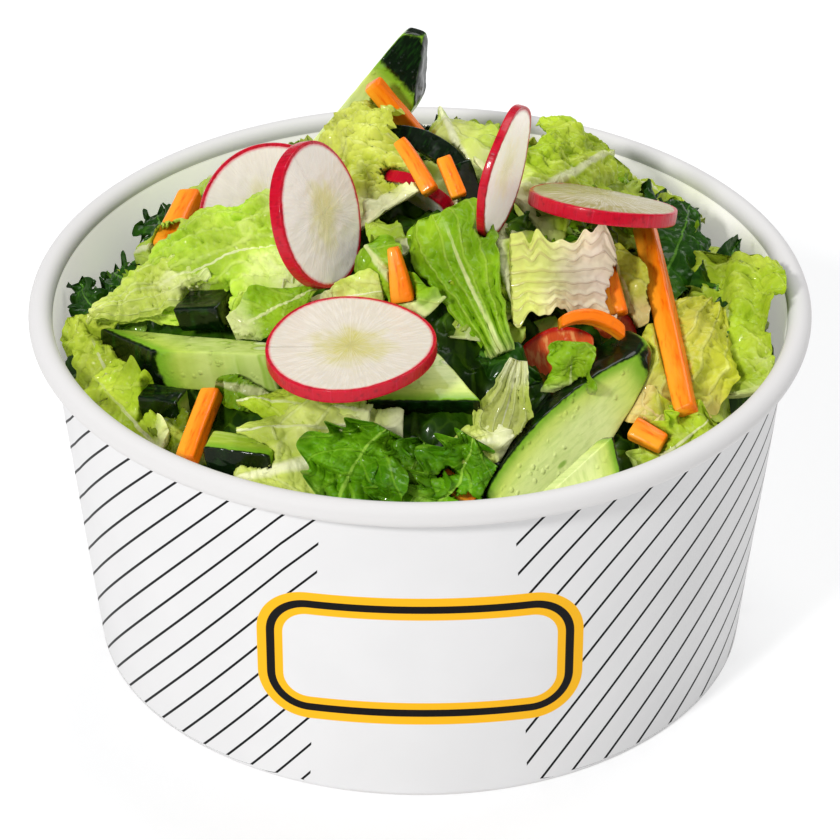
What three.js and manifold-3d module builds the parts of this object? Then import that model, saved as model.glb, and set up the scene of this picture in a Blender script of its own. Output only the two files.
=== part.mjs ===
// A round white paper bowl heaped with a spring salad.
//
// Millimetres, +Z up. The bowl's axis is the Z axis, it stands on z = 0, and the front of its
// print faces -Y. The heap of lettuce is one solid with its showing leaves joined on. Radish
// slices, cucumber pieces, carrot sticks and tomato slices are solids of their own.
import * as THREE from "three";
import { mergeVertices } from "three/addons/utils/BufferGeometryUtils.js";
import Module from "manifold-3d";

const wasm = await Module();
wasm.setup();

// ---- Driving dimensions -----------------------------------------------------------------

const GAP = 0.35; // clear space left between neighbouring pieces

const BOWL = {
  height: 72.5,
  rimRadius: 75, // outside of the rolled rim
  beadRadius: 2.3, // section of the rolled rim
  footRadius: 63.2, // outside of the wall where it stands
  wall: 0.8,
  foldHeight: 5.6, // folded band inside the foot
  fold: 1.9,
  floor: 0.9, // thickness of the floor disc
  sides: 60,
  beadSides: 10,
};
const INNER_TOP = BOWL.rimRadius - 2 * BOWL.beadRadius; // inside of the wall at the rim
const INNER_FOOT = BOWL.footRadius - BOWL.wall;
const FLOOR_Z = BOWL.foldHeight + GAP;

// The heap swells from where it meets the wall to a peak set slightly back from the middle.
const HEAP = {
  edge: 65,
  peak: 96,
  radius: 70,
  centreY: 4,
  cover: 5, // the leaves lie this much above the core
  lump: 0.8, // height of the core's lumps
  lumpX: 5, // their wavelengths, over two pi
  lumpY: 4,
  clear: 0.2, // more space left inside the wall than between pieces
  rings: 11,
  sectors: 30,
};
// Places where the heap sinks (negative) or swells: x, y, reach, height.
const SWELLS = [
  [-52, 26, 20, -6],
  [-40, 44, 16, -4],
  [-14, -42, 14, 3],
  [-40, -22, 14, -3],
  [30, -30, 12, -5],
  [52, 0, 16, -3],
  [2, -20, 10, 2],
];

const LEAF = {
  thickness: 1.3,
  steps: 6,
  across: 4,
  leastWidth: 0.12,
  leftPhase: 2.5, // the two edges wave out of step
  rightPhase: 0.4,
};
const SLICE = { sides: 26, shoulder: 0.5, flat: 0.35 }; // its rim's corners, in half thicknesses
const STICK = { bevel: 0.72, steps: 4 };
const CUCUMBER_SIDES = 28;
const REACH = 160; // longer than any piece, for the blanks that knives cut from
const MERGE = 1e-3; // points closer than this are one point
const FLATTEN = 0.08; // how far the heap's surface may move where its triangles are thinned

// ---- Pieces and their places ------------------------------------------------------------

// Radish slices: middle, direction the slice faces, radius, thickness, dish of the slice.
const RADISHES = {
  radish_front: {
    at: [-12.6, -43, 86.4], faces: [-0.06, -0.02, 1],
    radius: 15.9, thick: 2.6, dish: 0.5,
  },
  radish_upright: {
    at: [-18.9, -16, 99.5], faces: [0.845, -0.4, 0.353],
    radius: 13.9, thick: 2.6, dish: -0.5,
  },
  radish_back_left: {
    at: [-27.8, 4.4, 86.7], faces: [0.05, -0.88, 0.47],
    radius: 14.5, thick: 2.2, dish: 0.4,
  },
  radish_edge_on: {
    at: [15.3, -7.8, 104.2], faces: [0.925, -0.365, -0.1],
    radius: 13, thick: 2.4, dish: 0.4,
  },
  radish_right: {
    at: [34.6, -2.6, 94.4], faces: [0.146, 0.36, 0.921],
    radius: 14.2, thick: 2.6, dish: -0.8,
  },
  radish_tucked: {
    at: [-0.4, 5.6, 91.4], faces: [-0.51, -0.66, -0.56],
    radius: 7.4, thick: 2.4, dish: 0,
  },
};

// Pieces cut from a round vegetable. Each has a frame of its own: an origin, the direction
// "along" for its x and the direction "up" for its z. The skin is a cylinder about an axis in
// that frame, and each knife (a, b, c, d) keeps what lies at a*x + b*y + c*z <= d.
const CUTS = {
  cucumber_left: {
    at: [-61, -9.9, 71.2], along: [0.87, -0.43, 0.235], up: [-0.21, 0.104, 0.972],
    axisAt: [16.1, 11.1, -4], axis: [0.895, -0.445, 0], radius: 17.6,
    knives: [[0, 0, 1, 0], [0, 0, -1, 8.5], [0, -1, 0, 8.5], [0.093, 0.996, 0, 0], [1, 0, 0, 42]],
  },
  cucumber_front: {
    at: [33.1, -48.4, 61.6], along: [0.68, 0.69, 0.25], up: [0.577, -0.706, 0.416],
    axisAt: [0, 0, 0], axis: [0.866, 0, -0.5], radius: 17.5,
    knives: [
      [0, 0, 1, 0], [0, 0, -1, 8], [0.346, -0.938, 0, -1.3], [0.43, 0, 0.903, 9], [1, 0, 0, 26],
      [-1, 0, 0, 22], [0, -1, 0, -4],
    ],
  },
  cucumber_small: {
    at: [35.4, -52.4, 73.2], along: [-0.2, 0.5, 0.85], up: [0.5, -0.72, 0.48],
    axisAt: [-4, 15.6, 0], axis: [0.92, 0, -0.39], radius: 16,
    knives: [[0, 0, 1, 0], [0, 0, -1, 4.2], [0.9, 0.434, 0, 0.6], [-1, 0, 0, 8.6]],
  },
  cucumber_spear: {
    at: [-13.6, 34, 89.3], along: [0.52, 0, 0.85], up: [-0.27, -0.949, 0.169],
    axisAt: [0, 0, -16], axis: [0.9, 0.42, 0.12], radius: 24,
    knives: [
      [0, 0, 1, 0], [0, 0, -1, 8], [0.08, 0.997, 0, 4.4], [0, -1, 0, 7.8], [-1, 0, 0, 15],
      [0.508, -0.861, 0, 13], [0.93, 0.36, 0, 21.5], [0.5, -0.1, 0.86, 7.9],
    ],
  },
  cucumber_crescent: {
    at: [-4.8, 10, 84.2], along: [0.47, 0.475, 0.74], up: [-0.254, -0.943, 0.206],
    axisAt: [0, 0, 0], axis: [0, 0, 1], radius: 17.4,
    knives: [[0, 0, 1, 0], [0, 0, -1, 5.5], [-1, 0, 0, -12.8]],
  },
  cucumber_under_radish: {
    at: [11.4, -33.2, 83.4], along: [1, 0, 0], up: [0.05, -0.35, 0.94],
    axisAt: [0, 0, 0], axis: [1, 0, 0], radius: 15,
    knives: [[0, 0, 1, 0], [0, 0, -1, 11], [-1, 0, 0, 21], [0.82, 0.57, 0, -8.4], [0, 1, 0, -3]],
  },
  cucumber_block: {
    at: [-36, -4.8, 81.6], along: [0.9, -0.35, 0.25], up: [-0.2, 0.1, 0.97],
    axisAt: [0, 0, 0], axis: [1, 0, 0], radius: 17,
    knives: [[0, 0, 1, 0], [0, 0, -1, 5.5], [-1, 0, 0, 4.8], [1, 0, 0, 4.6], [0, 1, 0, -9]],
  },
  cucumber_shadow: {
    at: [-41.8, -19.2, 71], along: [0.9, -0.4, 0.1], up: [-0.1, 0, 0.99],
    axisAt: [0, 0, 0], axis: [1, 0, 0], radius: 16.5,
    knives: [[0, 0, 1, 0], [0, 0, -1, 8], [-1, 0, 0, 5], [1, 0, 0, 3.4], [0, 1, 0, -11.4]],
  },
  cucumber_low_left: {
    at: [-29.6, -35.6, 70.4], along: [0.95, -0.3, 0.05], up: [-0.05, 0, 0.99],
    axisAt: [0, 0, 0], axis: [1, 0, 0], radius: 16.5,
    knives: [[0, 0, 1, 0], [0, 0, -1, 9], [-1, 0, 0, 5.8], [1, 0, 0, 7.4], [0, 1, 0, -10.5]],
  },
  cucumber_back: {
    at: [8.2, 6, 94], along: [0.35, -0.5, -0.79], up: [0.15, -0.8, 0.58],
    axisAt: [0, 0, -15.5], axis: [1, 0, 0], radius: 15.5,
    knives: [[0, 0, -1, 5], [-1, 0, 0, 3.6], [1, 0, 0, 7], [0, 1, 0, 3], [0, -1, 0, 1.6]],
  },
  cucumber_ring: {
    at: [26.6, -26.4, 70.9], along: [-0.35, 0.505, 0.788], up: [0, -0.8415, 0.5402],
    axisAt: [0, 0, 0], axis: [0, 0, 1], radius: 11.6,
    knives: [[0, 0, 1, 0], [0, 0, -1, 2.4], [-1, 0, 0, -1], [0, -1, 0, 3]],
  },
  tomato_slice: {
    at: [27, -30.9, 72.3], along: [-0.2, 0.53, 0.825], up: [0, -0.8415, 0.5402],
    axisAt: [0, 0, 0], axis: [0, 0, 1], radius: 10.2,
    knives: [[0, 0, 1, 0], [0, 0, -1, 2.6], [-0.6, -0.8, 0, 2.2], [0, -1, 0, 7]],
  },
  radish_behind: {
    at: [32, -20.4, 73.2], along: [0.35, 0.505, 0.788], up: [0.1, -0.83, 0.55],
    axisAt: [0, 0, 0], axis: [0, 0, 1], radius: 9.4,
    knives: [[0, 0, 1, 0], [0, 0, -1, 2.2], [-1, 0, 0, -1], [0, 1, 0, 2]],
  },
};

// Carrot sticks: two ends, width across, depth, bow of the middle, turn about its length,
// width of the far end as a share of the near one.
const CARROTS = {
  carrot_top: {
    from: [-9.2, 28.5, 102.7], to: [0.8, 27.4, 89.6],
    wide: 4.3, deep: 3.4, bow: [0, 0, 0], turn: 10, taper: 1,
  },
  carrot_mid: {
    from: [-3.8, 5.7, 102.8], to: [2, -3.2, 97],
    wide: 3.4, deep: 2.8, bow: [0, 0, 0.4], turn: 20, taper: 1.2,
  },
  carrot_peak: {
    from: [4.4, 2.2, 101.2], to: [7.4, -3.4, 96],
    wide: 3.6, deep: 3, bow: [0, 0, 0], turn: 0, taper: 1.1,
  },
  carrot_centre: {
    from: [-5, -22.4, 96.2], to: [-3, -26.2, 87],
    wide: 2.6, deep: 3, bow: [0, -0.3, 0.2], turn: 8, taper: 1.7,
  },
  carrot_long: {
    from: [43, 4.9, 84], to: [49.4, -38.8, 70.4],
    wide: 4.3, deep: 3.8, bow: [0, 0, 0.4], turn: 25, taper: 0.95,
  },
  carrot_curved: {
    from: [26, -31.4, 85.4], to: [37.6, -28.2, 81.1],
    wide: 2.6, deep: 2.4, bow: [0, 1.1, 1.7], turn: 0, taper: 1.1,
  },
  carrot_left: {
    from: [-44.6, 24.4, 80], to: [-48.8, 8.6, 77.2],
    wide: 4.6, deep: 4, bow: [0, 0, 0.4], turn: 15, taper: 1.1,
  },
  carrot_low_left: {
    from: [-38.6, -33.8, 71.6], to: [-43, -48.6, 66],
    wide: 4.8, deep: 4, bow: [0, 0, 0.5], turn: 20, taper: 1,
  },
  carrot_right: {
    from: [34.4, -11.6, 87], to: [37, -20.6, 80.4],
    wide: 4.2, deep: 3, bow: [0, 0, 0], turn: 10, taper: 1,
  },
  carrot_low_right: {
    from: [39.4, -41.4, 68.6], to: [45, -44.4, 67],
    wide: 4.6, deep: 3.6, bow: [0, 0, 0], turn: 30, taper: 0.9,
  },
  carrot_rim: {
    from: [4, -56.6, 68.2], to: [9.6, -60.2, 64.4],
    wide: 3.4, deep: 2.8, bow: [0, 0, 0], turn: 0, taper: 1,
  },
};

// Leaves: from the stalk end to the tip, the direction the leaf faces, full width, height of
// its arch, lift of its edges, depth and number of its waves, and its outline.
const LEAVES = [
  {
    stalk: [-15, -11, 95], tip: [-62, -9, 72.5], faces: [-0.35, -0.55, 0.75], width: 24,
    arch: 4, lift: -2, wave: 1.2, waves: 2, outline: "pointed",
  },
  {
    stalk: [-6.6, -6, 94.6], tip: [-14.6, 27, 98.2], faces: [-0.25, -0.8, 0.55], width: 20,
    arch: 2, lift: -2, wave: 1.5, waves: 2, outline: "torn",
  },
  {
    stalk: [15, -37, 82], tip: [3.6, -13, 98.6], faces: [-0.1, -0.85, 0.5], width: 17,
    arch: 1.5, lift: -1.5, wave: 1, waves: 2, outline: "fan",
  },
  {
    stalk: [1, -31, 86], tip: [-10, -18, 94], faces: [-0.3, -0.8, 0.5], width: 10,
    arch: 1, lift: -1, wave: 0.8, waves: 2, outline: "torn",
  },
  {
    stalk: [17, -24, 90.5], tip: [36.5, -18, 88], faces: [0.1, -0.8, 0.6], width: 18,
    arch: 1.5, lift: 0.5, wave: 0.8, waves: 3, outline: "torn",
  },
  {
    stalk: [19, 0, 92], tip: [38, 35, 83.6], faces: [0.35, -0.45, 0.8], width: 25,
    arch: 3, lift: -2, wave: 1.5, waves: 3, outline: "torn",
  },
  {
    stalk: [11, 3, 93], tip: [4, 39, 91], faces: [-0.1, -0.6, 0.8], width: 17,
    arch: 2, lift: -2, wave: 1.2, waves: 2, outline: "pointed",
  },
  {
    stalk: [44, -42, 68], tip: [56, -8, 76], faces: [0.25, -0.65, 0.7], width: 20,
    arch: 3, lift: -2, wave: 1.2, waves: 2, outline: "oval",
  },
  {
    stalk: [60, -24, 63], tip: [62.5, 10, 71], faces: [-0.2, -0.75, 0.6], width: 15,
    arch: 2, lift: 1, wave: 1.2, waves: 2, outline: "torn",
  },
  {
    stalk: [40, -50, 64], tip: [54, -37, 68], faces: [0.3, -0.7, 0.6], width: 12,
    arch: 1.5, lift: 1, wave: 1.5, waves: 3, outline: "frilly",
  },
  {
    stalk: [-3, -53, 76], tip: [-34, -50, 74], faces: [-0.1, -0.7, 0.7], width: 12,
    arch: 2, lift: -1, wave: 1, waves: 2, outline: "pointed",
  },
  {
    stalk: [0, -56, 72], tip: [-31, -58, 65.5], faces: [-0.2, -0.75, 0.6], width: 10,
    arch: 1.5, lift: -1.5, wave: 0.6, waves: 2, outline: "oval",
  },
  {
    stalk: [-9, -64, 63], tip: [-9, -54.5, 77], faces: [-0.1, -0.85, 0.5], width: 17,
    arch: 1.5, lift: 2, wave: 1.8, waves: 2, outline: "frilly",
  },
  {
    stalk: [-1, -63, 64], tip: [9, -54, 77], faces: [0.1, -0.85, 0.5], width: 15,
    arch: 1.5, lift: 2, wave: 1.8, waves: 2, outline: "frilly",
  },
  {
    stalk: [17, -51, 73], tip: [18, -43, 82], faces: [0, -0.8, 0.55], width: 10,
    arch: 1, lift: 1.5, wave: 0.8, waves: 2, outline: "fan",
  },
  {
    stalk: [24, -47, 73], tip: [10, -56, 73], faces: [0, -0.7, 0.7], width: 8,
    arch: 1, lift: -1, wave: 0.6, waves: 2, outline: "oval",
  },
  {
    stalk: [-48, -41, 63], tip: [-63, -16, 66], faces: [-0.4, -0.6, 0.7], width: 14,
    arch: 2, lift: 1.5, wave: 1.8, waves: 3, outline: "frilly",
  },
  {
    stalk: [-58, -8, 66], tip: [-66, 13, 67], faces: [-0.3, -0.7, 0.6], width: 9,
    arch: 1.5, lift: 1, wave: 1.4, waves: 3, outline: "frilly",
  },
  {
    stalk: [-52, -2, 73], tip: [-60, 20, 65], faces: [-0.4, -0.5, 0.75], width: 10,
    arch: 1.5, lift: 1, wave: 1.4, waves: 3, outline: "frilly",
  },
  {
    stalk: [-46, 4, 77], tip: [-51.5, 33, 70.5], faces: [-0.4, -0.5, 0.75], width: 10,
    arch: 2, lift: 1, wave: 1.4, waves: 3, outline: "frilly",
  },
  {
    stalk: [45, -8, 77], tip: [53, 30, 75], faces: [0.2, -0.7, 0.65], width: 14,
    arch: 2, lift: -1, wave: 1.2, waves: 2, outline: "oval",
  },
  {
    stalk: [53, -10, 71], tip: [62, 22, 71], faces: [0, -0.8, 0.6], width: 10,
    arch: 1.5, lift: 1, wave: 1.2, waves: 2, outline: "pointed",
  },
  {
    stalk: [41, -20, 77], tip: [36, -5, 86], faces: [0.1, -0.75, 0.6], width: 10,
    arch: 1, lift: 1, wave: 0.6, waves: 2, outline: "oval",
  },
  {
    stalk: [40, -36, 71], tip: [47, -41, 68], faces: [0.2, -0.75, 0.6], width: 9,
    arch: 1, lift: 0.5, wave: 0.6, waves: 2, outline: "torn",
  },
  {
    stalk: [-35, -27, 81], tip: [-19, -25, 89], faces: [-0.2, -0.7, 0.7], width: 9,
    arch: 1, lift: 0.5, wave: 0.8, waves: 2, outline: "pointed",
  },
  {
    stalk: [-20, -25, 85], tip: [-7, -26, 89], faces: [0, -0.7, 0.7], width: 9,
    arch: 1, lift: 1, wave: 0.8, waves: 2, outline: "fan",
  },
  {
    stalk: [26, -45, 73], tip: [24, -38.6, 85], faces: [0, -0.85, 0.5], width: 9,
    arch: 1, lift: 1, wave: 0.8, waves: 2, outline: "pointed",
  },
  {
    stalk: [-38, 3, 84], tip: [-55, 9, 76], faces: [-0.4, -0.4, 0.8], width: 11,
    arch: 1.5, lift: -1, wave: 1, waves: 2, outline: "oval",
  },
  {
    stalk: [-37, -47, 64], tip: [-51, -34, 68], faces: [-0.4, -0.7, 0.6], width: 9,
    arch: 1, lift: -1, wave: 0.8, waves: 2, outline: "oval",
  },
  {
    stalk: [-24, 22, 86], tip: [-46, 44, 68], faces: [-0.35, 0.35, 0.85], width: 22,
    arch: 4, lift: -2, wave: 1.5, waves: 2, outline: "torn",
  },
  {
    stalk: [-6, 26, 86], tip: [-14, 60, 67], faces: [-0.1, 0.5, 0.85], width: 22,
    arch: 4, lift: -2, wave: 1.5, waves: 2, outline: "oval",
  },
  {
    stalk: [14, 26, 86], tip: [20, 60, 67], faces: [0.1, 0.5, 0.85], width: 22,
    arch: 4, lift: -2, wave: 1.5, waves: 2, outline: "torn",
  },
  {
    stalk: [34, 30, 79], tip: [52, 42, 67], faces: [0.4, 0.3, 0.85], width: 18,
    arch: 3, lift: -1, wave: 1.5, waves: 2, outline: "oval",
  },
];

const MATERIALS = {
  paper: new THREE.MeshStandardMaterial({ color: 0xf3f2ef, roughness: 0.55, metalness: 0 }),
  lettuce: new THREE.MeshStandardMaterial({ color: 0x9cbf45, roughness: 0.35, metalness: 0 }),
  radish: new THREE.MeshStandardMaterial({ color: 0xd3173f, roughness: 0.3, metalness: 0 }),
  cucumber: new THREE.MeshStandardMaterial({ color: 0x3f7d2a, roughness: 0.25, metalness: 0 }),
  carrot: new THREE.MeshStandardMaterial({ color: 0xf2741c, roughness: 0.35, metalness: 0 }),
  tomato: new THREE.MeshStandardMaterial({ color: 0xc8321f, roughness: 0.25, metalness: 0 }),
};

// ---- Solids -----------------------------------------------------------------------------

const vector = (list) => new THREE.Vector3(...list);

/** A closed geometry as a solid that can be joined and cut. */
function solidOf(geometry) {
  const bare = geometry.clone();
  bare.deleteAttribute("normal");
  bare.deleteAttribute("uv");
  const merged = mergeVertices(bare, MERGE);
  return new wasm.Manifold(
    new wasm.Mesh({
      numProp: 3,
      vertProperties: new Float32Array(merged.attributes.position.array),
      triVerts: new Uint32Array(merged.index.array),
    }),
  );
}

/** The solid's triangles as a geometry. */
function geometryOf(solid) {
  const { vertProperties, triVerts, numProp, numVert } = solid.getMesh();
  const places = new Float32Array(numVert * 3);
  for (let i = 0; i < numVert; i++) {
    places.set(vertProperties.subarray(i * numProp, i * numProp + 3), i * 3);
  }
  const geometry = new THREE.BufferGeometry();
  geometry.setAttribute("position", new THREE.BufferAttribute(places, 3));
  geometry.setIndex(new THREE.BufferAttribute(triVerts, 1));
  geometry.computeVertexNormals();
  return geometry;
}

/** The largest body of a solid, its inner hollows filled. */
function largestBody(solid) {
  const bodies = solid.decompose();
  return bodies.reduce((best, body) => (body.volume() > best.volume() ? body : best));
}

/** A matrix whose x runs along, whose z is as near up as it can be, and whose origin is at. */
function frameAt(at, along, up) {
  const x = vector(along).normalize();
  const y = vector(up).cross(x).normalize();
  const z = new THREE.Vector3().crossVectors(x, y);
  return new THREE.Matrix4().makeBasis(x, y, z).setPosition(vector(at));
}

/** A profile of [radius, height] corners turned about the Z axis. */
function turned(profile, sides) {
  const points = profile.map(([radius, height]) => new THREE.Vector2(radius, height));
  return new THREE.LatheGeometry(points, sides).rotateX(Math.PI / 2);
}

/** A grid of points closed into one skin: rows join end to end, and the ends are capped. */
function tube(rings) {
  const count = rings[0].length;
  const places = rings.flat().flatMap((p) => [p.x, p.y, p.z]);
  const faces = [];
  const at = (ring, side) => ring * count + (side % count);
  for (let ring = 0; ring + 1 < rings.length; ring++) {
    for (let side = 0; side < count; side++) {
      const [a, b] = [at(ring, side), at(ring, side + 1)];
      const [c, d] = [at(ring + 1, side + 1), at(ring + 1, side)];
      faces.push(a, b, c, a, c, d);
    }
  }
  const last = rings.length - 1;
  for (let side = 1; side + 1 < count; side++) {
    faces.push(at(0, 0), at(0, side + 1), at(0, side));
    faces.push(at(last, 0), at(last, side), at(last, side + 1));
  }
  const geometry = new THREE.BufferGeometry();
  geometry.setAttribute("position", new THREE.Float32BufferAttribute(places, 3));
  geometry.setIndex(faces);
  return geometry;
}

// ---- Bowl -------------------------------------------------------------------------------

/** Inside radius of the bowl's wall at height z. */
function innerRadius(z) {
  const top = BOWL.height - BOWL.beadRadius;
  return INNER_FOOT + ((INNER_TOP - INNER_FOOT) * Math.min(z, top)) / top;
}

/** The wall: a cone with a folded band at its foot and a rim rolled outwards. */
function bowlWall() {
  const { height, beadRadius, footRadius, wall, foldHeight, fold } = BOWL;
  const beadZ = height - beadRadius;
  const beadMiddle = BOWL.rimRadius - beadRadius;
  const profile = [
    [footRadius - fold, 0],
    [footRadius, 0],
  ];
  // The bead starts where the outside of the wall meets its underside.
  const startAngle = -Math.PI + Math.acos((beadRadius - wall) / beadRadius);
  for (let i = 0; i <= BOWL.beadSides; i++) {
    const angle = startAngle + ((Math.PI - startAngle) * i) / BOWL.beadSides;
    profile.push([beadMiddle + beadRadius * Math.cos(angle), beadZ + beadRadius * Math.sin(angle)]);
  }
  profile.push([innerRadius(foldHeight), foldHeight]);
  profile.push([innerRadius(foldHeight) - (fold - wall), foldHeight]);
  profile.push(profile[0]);
  return turned(profile, BOWL.sides);
}

/** The floor: a disc that rests on the folded band. */
function bowlFloor() {
  const top = FLOOR_Z + BOWL.floor;
  return turned(
    [
      [0, FLOOR_Z],
      [innerRadius(FLOOR_Z) - GAP, FLOOR_Z],
      [innerRadius(top) - GAP, top],
      [0, top],
    ],
    BOWL.sides,
  );
}

/** The space that the salad may fill: the bowl's inside, and straight up from its rim. */
function saladSpace() {
  const floor = FLOOR_Z + BOWL.floor + GAP;
  const side = GAP + HEAP.clear;
  const rim = innerRadius(BOWL.height) - side;
  return turned(
    [
      [0, floor],
      [innerRadius(floor) - side, floor],
      [rim, BOWL.height - BOWL.beadRadius],
      [rim, HEAP.peak * 2],
      [0, HEAP.peak * 2],
    ],
    BOWL.sides,
  );
}

// ---- Toppings ---------------------------------------------------------------------------

/** A round slice with a rounded rim, gently dished. */
function slice({ at, faces, radius, thick, dish }, grow = 0) {
  const edge = radius + grow;
  const half = thick / 2 + grow;
  const profile = [
    [0, -half],
    [edge - half * SLICE.shoulder, -half],
    [edge, -half * SLICE.flat],
    [edge, half * SLICE.flat],
    [edge - half * SLICE.shoulder, half],
    [0, half],
  ].map(([r, z]) => [r, z + dish * (r / edge) ** 2]);
  const turn = new THREE.Quaternion().setFromUnitVectors(
    new THREE.Vector3(0, 0, 1),
    vector(faces).normalize(),
  );
  return turned(profile, SLICE.sides).applyQuaternion(turn).translate(...at);
}

/** A blank cylinder cut by knives, in the place of the piece. */
function cutPiece({ at, along, up, axisAt, axis, radius, knives }, grow = 0) {
  const turn = new THREE.Quaternion().setFromUnitVectors(
    new THREE.Vector3(0, 1, 0),
    vector(axis).normalize(),
  );
  const blank = new THREE.CylinderGeometry(radius + grow, radius + grow, REACH, CUCUMBER_SIDES);
  let piece = solidOf(blank.applyQuaternion(turn).translate(...axisAt));
  for (const [a, b, c, d] of knives) {
    const facing = new THREE.Vector3(a, b, c);
    const far = d / facing.length() + grow + REACH / 2;
    const away = new THREE.BoxGeometry(REACH, REACH, REACH);
    away.applyQuaternion(
      new THREE.Quaternion().setFromUnitVectors(new THREE.Vector3(0, 0, 1), facing.normalize()),
    );
    away.translate(facing.x * far, facing.y * far, facing.z * far);
    piece = piece.subtract(solidOf(away));
  }
  return geometryOf(piece).applyMatrix4(frameAt(at, along, up));
}

/** A carrot stick: a bevelled square section swept from end to end with a slight bow. */
function stick({ from, to, wide, deep, bow, turn, taper }, grow = 0) {
  const start = vector(from);
  const end = vector(to);
  const way = end.clone().sub(start).normalize();
  const side = new THREE.Vector3(1, 0, 0);
  side.addScaledVector(way, -side.dot(way)).normalize();
  const over = new THREE.Vector3().crossVectors(way, side);
  side.applyAxisAngle(way, THREE.MathUtils.degToRad(turn));
  over.applyAxisAngle(way, THREE.MathUtils.degToRad(turn));
  start.addScaledVector(way, -grow);
  end.addScaledVector(way, grow);
  const { bevel, steps } = STICK;
  const section = [
    [1, bevel], [bevel, 1], [-bevel, 1], [-1, bevel],
    [-1, -bevel], [-bevel, -1], [bevel, -1], [1, -bevel],
  ];
  const rings = [];
  for (let i = 0; i <= steps; i++) {
    const t = i / steps;
    const size = 1 + (taper - 1) * t;
    const middle = start.clone().lerp(end, t).addScaledVector(vector(bow), 4 * t * (1 - t));
    rings.push(
      section.map(([a, b]) =>
        middle
          .clone()
          .addScaledVector(side, a * ((wide / 2) * size + grow))
          .addScaledVector(over, b * ((deep / 2) * size + grow)),
      ),
    );
  }
  return tube(rings);
}

// ---- Heap -------------------------------------------------------------------------------

const OUTLINES = {
  oval: (u) => Math.sin(Math.PI * (0.08 + 0.86 * u)) ** 0.7,
  pointed: (u) => Math.min(1, 0.55 + 1.8 * u) * Math.min(1, 1.9 * (1 - u)) ** 0.8,
  fan: (u) => 0.3 + 0.7 * Math.min(1, 1.35 * u) ** 1.2 - 0.25 * Math.max(0, (u - 0.85) / 0.15) ** 2,
  torn: (u) => 0.86 + 0.14 * Math.sin(9 * u + 0.6) - 0.3 * Math.max(0, (u - 0.85) / 0.15) ** 2,
  frilly: (u) => Math.sin(Math.PI * (0.1 + 0.82 * u)) ** 0.6 * (1 + 0.12 * Math.sin(21 * u)),
};

/** A leaf: a thin sheet, arched along its length, lifted and waved towards its edges. */
function leaf({ stalk, tip, faces, width, arch, lift, wave, waves, outline }) {
  const start = vector(stalk);
  const along = vector(tip).sub(start);
  const side = new THREE.Vector3().crossVectors(along, vector(faces)).normalize();
  const out = new THREE.Vector3().crossVectors(side, along).normalize();
  const point = (u, v, face) => {
    const half = (width / 2) * Math.max(LEAF.leastWidth, OUTLINES[outline](u));
    const phase = v > 0 ? LEAF.rightPhase : LEAF.leftPhase;
    const rise =
      arch * 4 * u * (1 - u) +
      (lift + wave * Math.sin(2 * Math.PI * waves * u + phase)) * v * v +
      (face * LEAF.thickness) / 2;
    const middle = start.clone().addScaledVector(along, u);
    return middle.addScaledVector(side, half * v).addScaledVector(out, rise);
  };
  const rings = [];
  for (let i = 0; i <= LEAF.steps; i++) {
    const across = Array.from({ length: LEAF.across + 1 }, (_, j) => -1 + (2 * j) / LEAF.across);
    const upper = across.map((v) => point(i / LEAF.steps, v, 1));
    const lower = across.reverse().map((v) => point(i / LEAF.steps, v, -1));
    rings.push([...upper, ...lower]);
  }
  return tube(rings);
}

/** Height of the heap's core at (x, y). */
function coreHeight(x, y) {
  const share = Math.hypot(x, y - HEAP.centreY) / HEAP.radius;
  let height = HEAP.edge - HEAP.cover + (HEAP.peak - HEAP.edge) * (1 - share * share);
  for (const [sx, sy, reach, rise] of SWELLS) {
    height += rise * Math.exp(-((x - sx) ** 2 + (y - sy) ** 2) / (reach * reach));
  }
  return height + HEAP.lump * Math.sin(x / HEAP.lumpX) * Math.cos(y / HEAP.lumpY);
}

/** The core: it fills the bowl up to its own lumpy top. */
function heapCore() {
  const floor = FLOOR_Z + BOWL.floor;
  const outside = BOWL.rimRadius;
  const ring = (radius, height) =>
    Array.from({ length: HEAP.sectors }, (_, i) => {
      const angle = (2 * Math.PI * i) / HEAP.sectors;
      const [x, y] = [radius * Math.cos(angle), radius * Math.sin(angle)];
      return new THREE.Vector3(x, y, height ?? coreHeight(x, y));
    });
  const rings = [ring(outside, floor)];
  for (let i = HEAP.rings; i >= 1; i--) {
    rings.push(ring((outside * i) / HEAP.rings));
  }
  return tube(rings);
}

/** The heap with its leaves joined on, inside the bowl and clear of every topping. */
function heap(toppings) {
  const leaves = LEAVES.map((spec) => solidOf(leaf(spec)));
  let whole = solidOf(heapCore());
  for (const each of leaves) {
    whole = whole.add(each);
  }
  whole = whole.intersect(solidOf(saladSpace()));
  for (const topping of toppings) {
    whole = whole.subtract(topping);
  }
  // Bodies that meet in one point only come apart once their points are merged.
  const merged = solidOf(geometryOf(largestBody(whole.simplify(FLATTEN))));
  return geometryOf(largestBody(merged));
}

// ---- The whole object -------------------------------------------------------------------

const salad = new THREE.Group();

function place(name, geometry, material) {
  const mesh = new THREE.Mesh(geometry, material);
  mesh.name = name;
  salad.add(mesh);
}

const toppingKinds = [
  [RADISHES, slice],
  [CUTS, cutPiece],
  [CARROTS, stick],
];
const grown = [];
for (const [pieces, make] of toppingKinds) {
  for (const [name, spec] of Object.entries(pieces)) {
    place(name, make(spec), MATERIALS[name.split("_")[0]]);
    grown.push(solidOf(make(spec, GAP)));
  }
}
place("bowl_wall", bowlWall(), MATERIALS.paper);
place("bowl_floor", bowlFloor(), MATERIALS.paper);
place("salad_heap", heap(grown), MATERIALS.lettuce);

export default salad;
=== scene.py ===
"""A spring salad heaped in a round white printed paper bowl.

Sizes are in millimetres in the bowl's own frame (+Z up, the front of the print faces -Y) and
become metres when a mesh is written. Every piece is a surface worked out on a grid of two
parameters. Lettuce is thin closed leaves over a lumpy core, and each topping replaces the plain
solid of its own name.
"""

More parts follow.
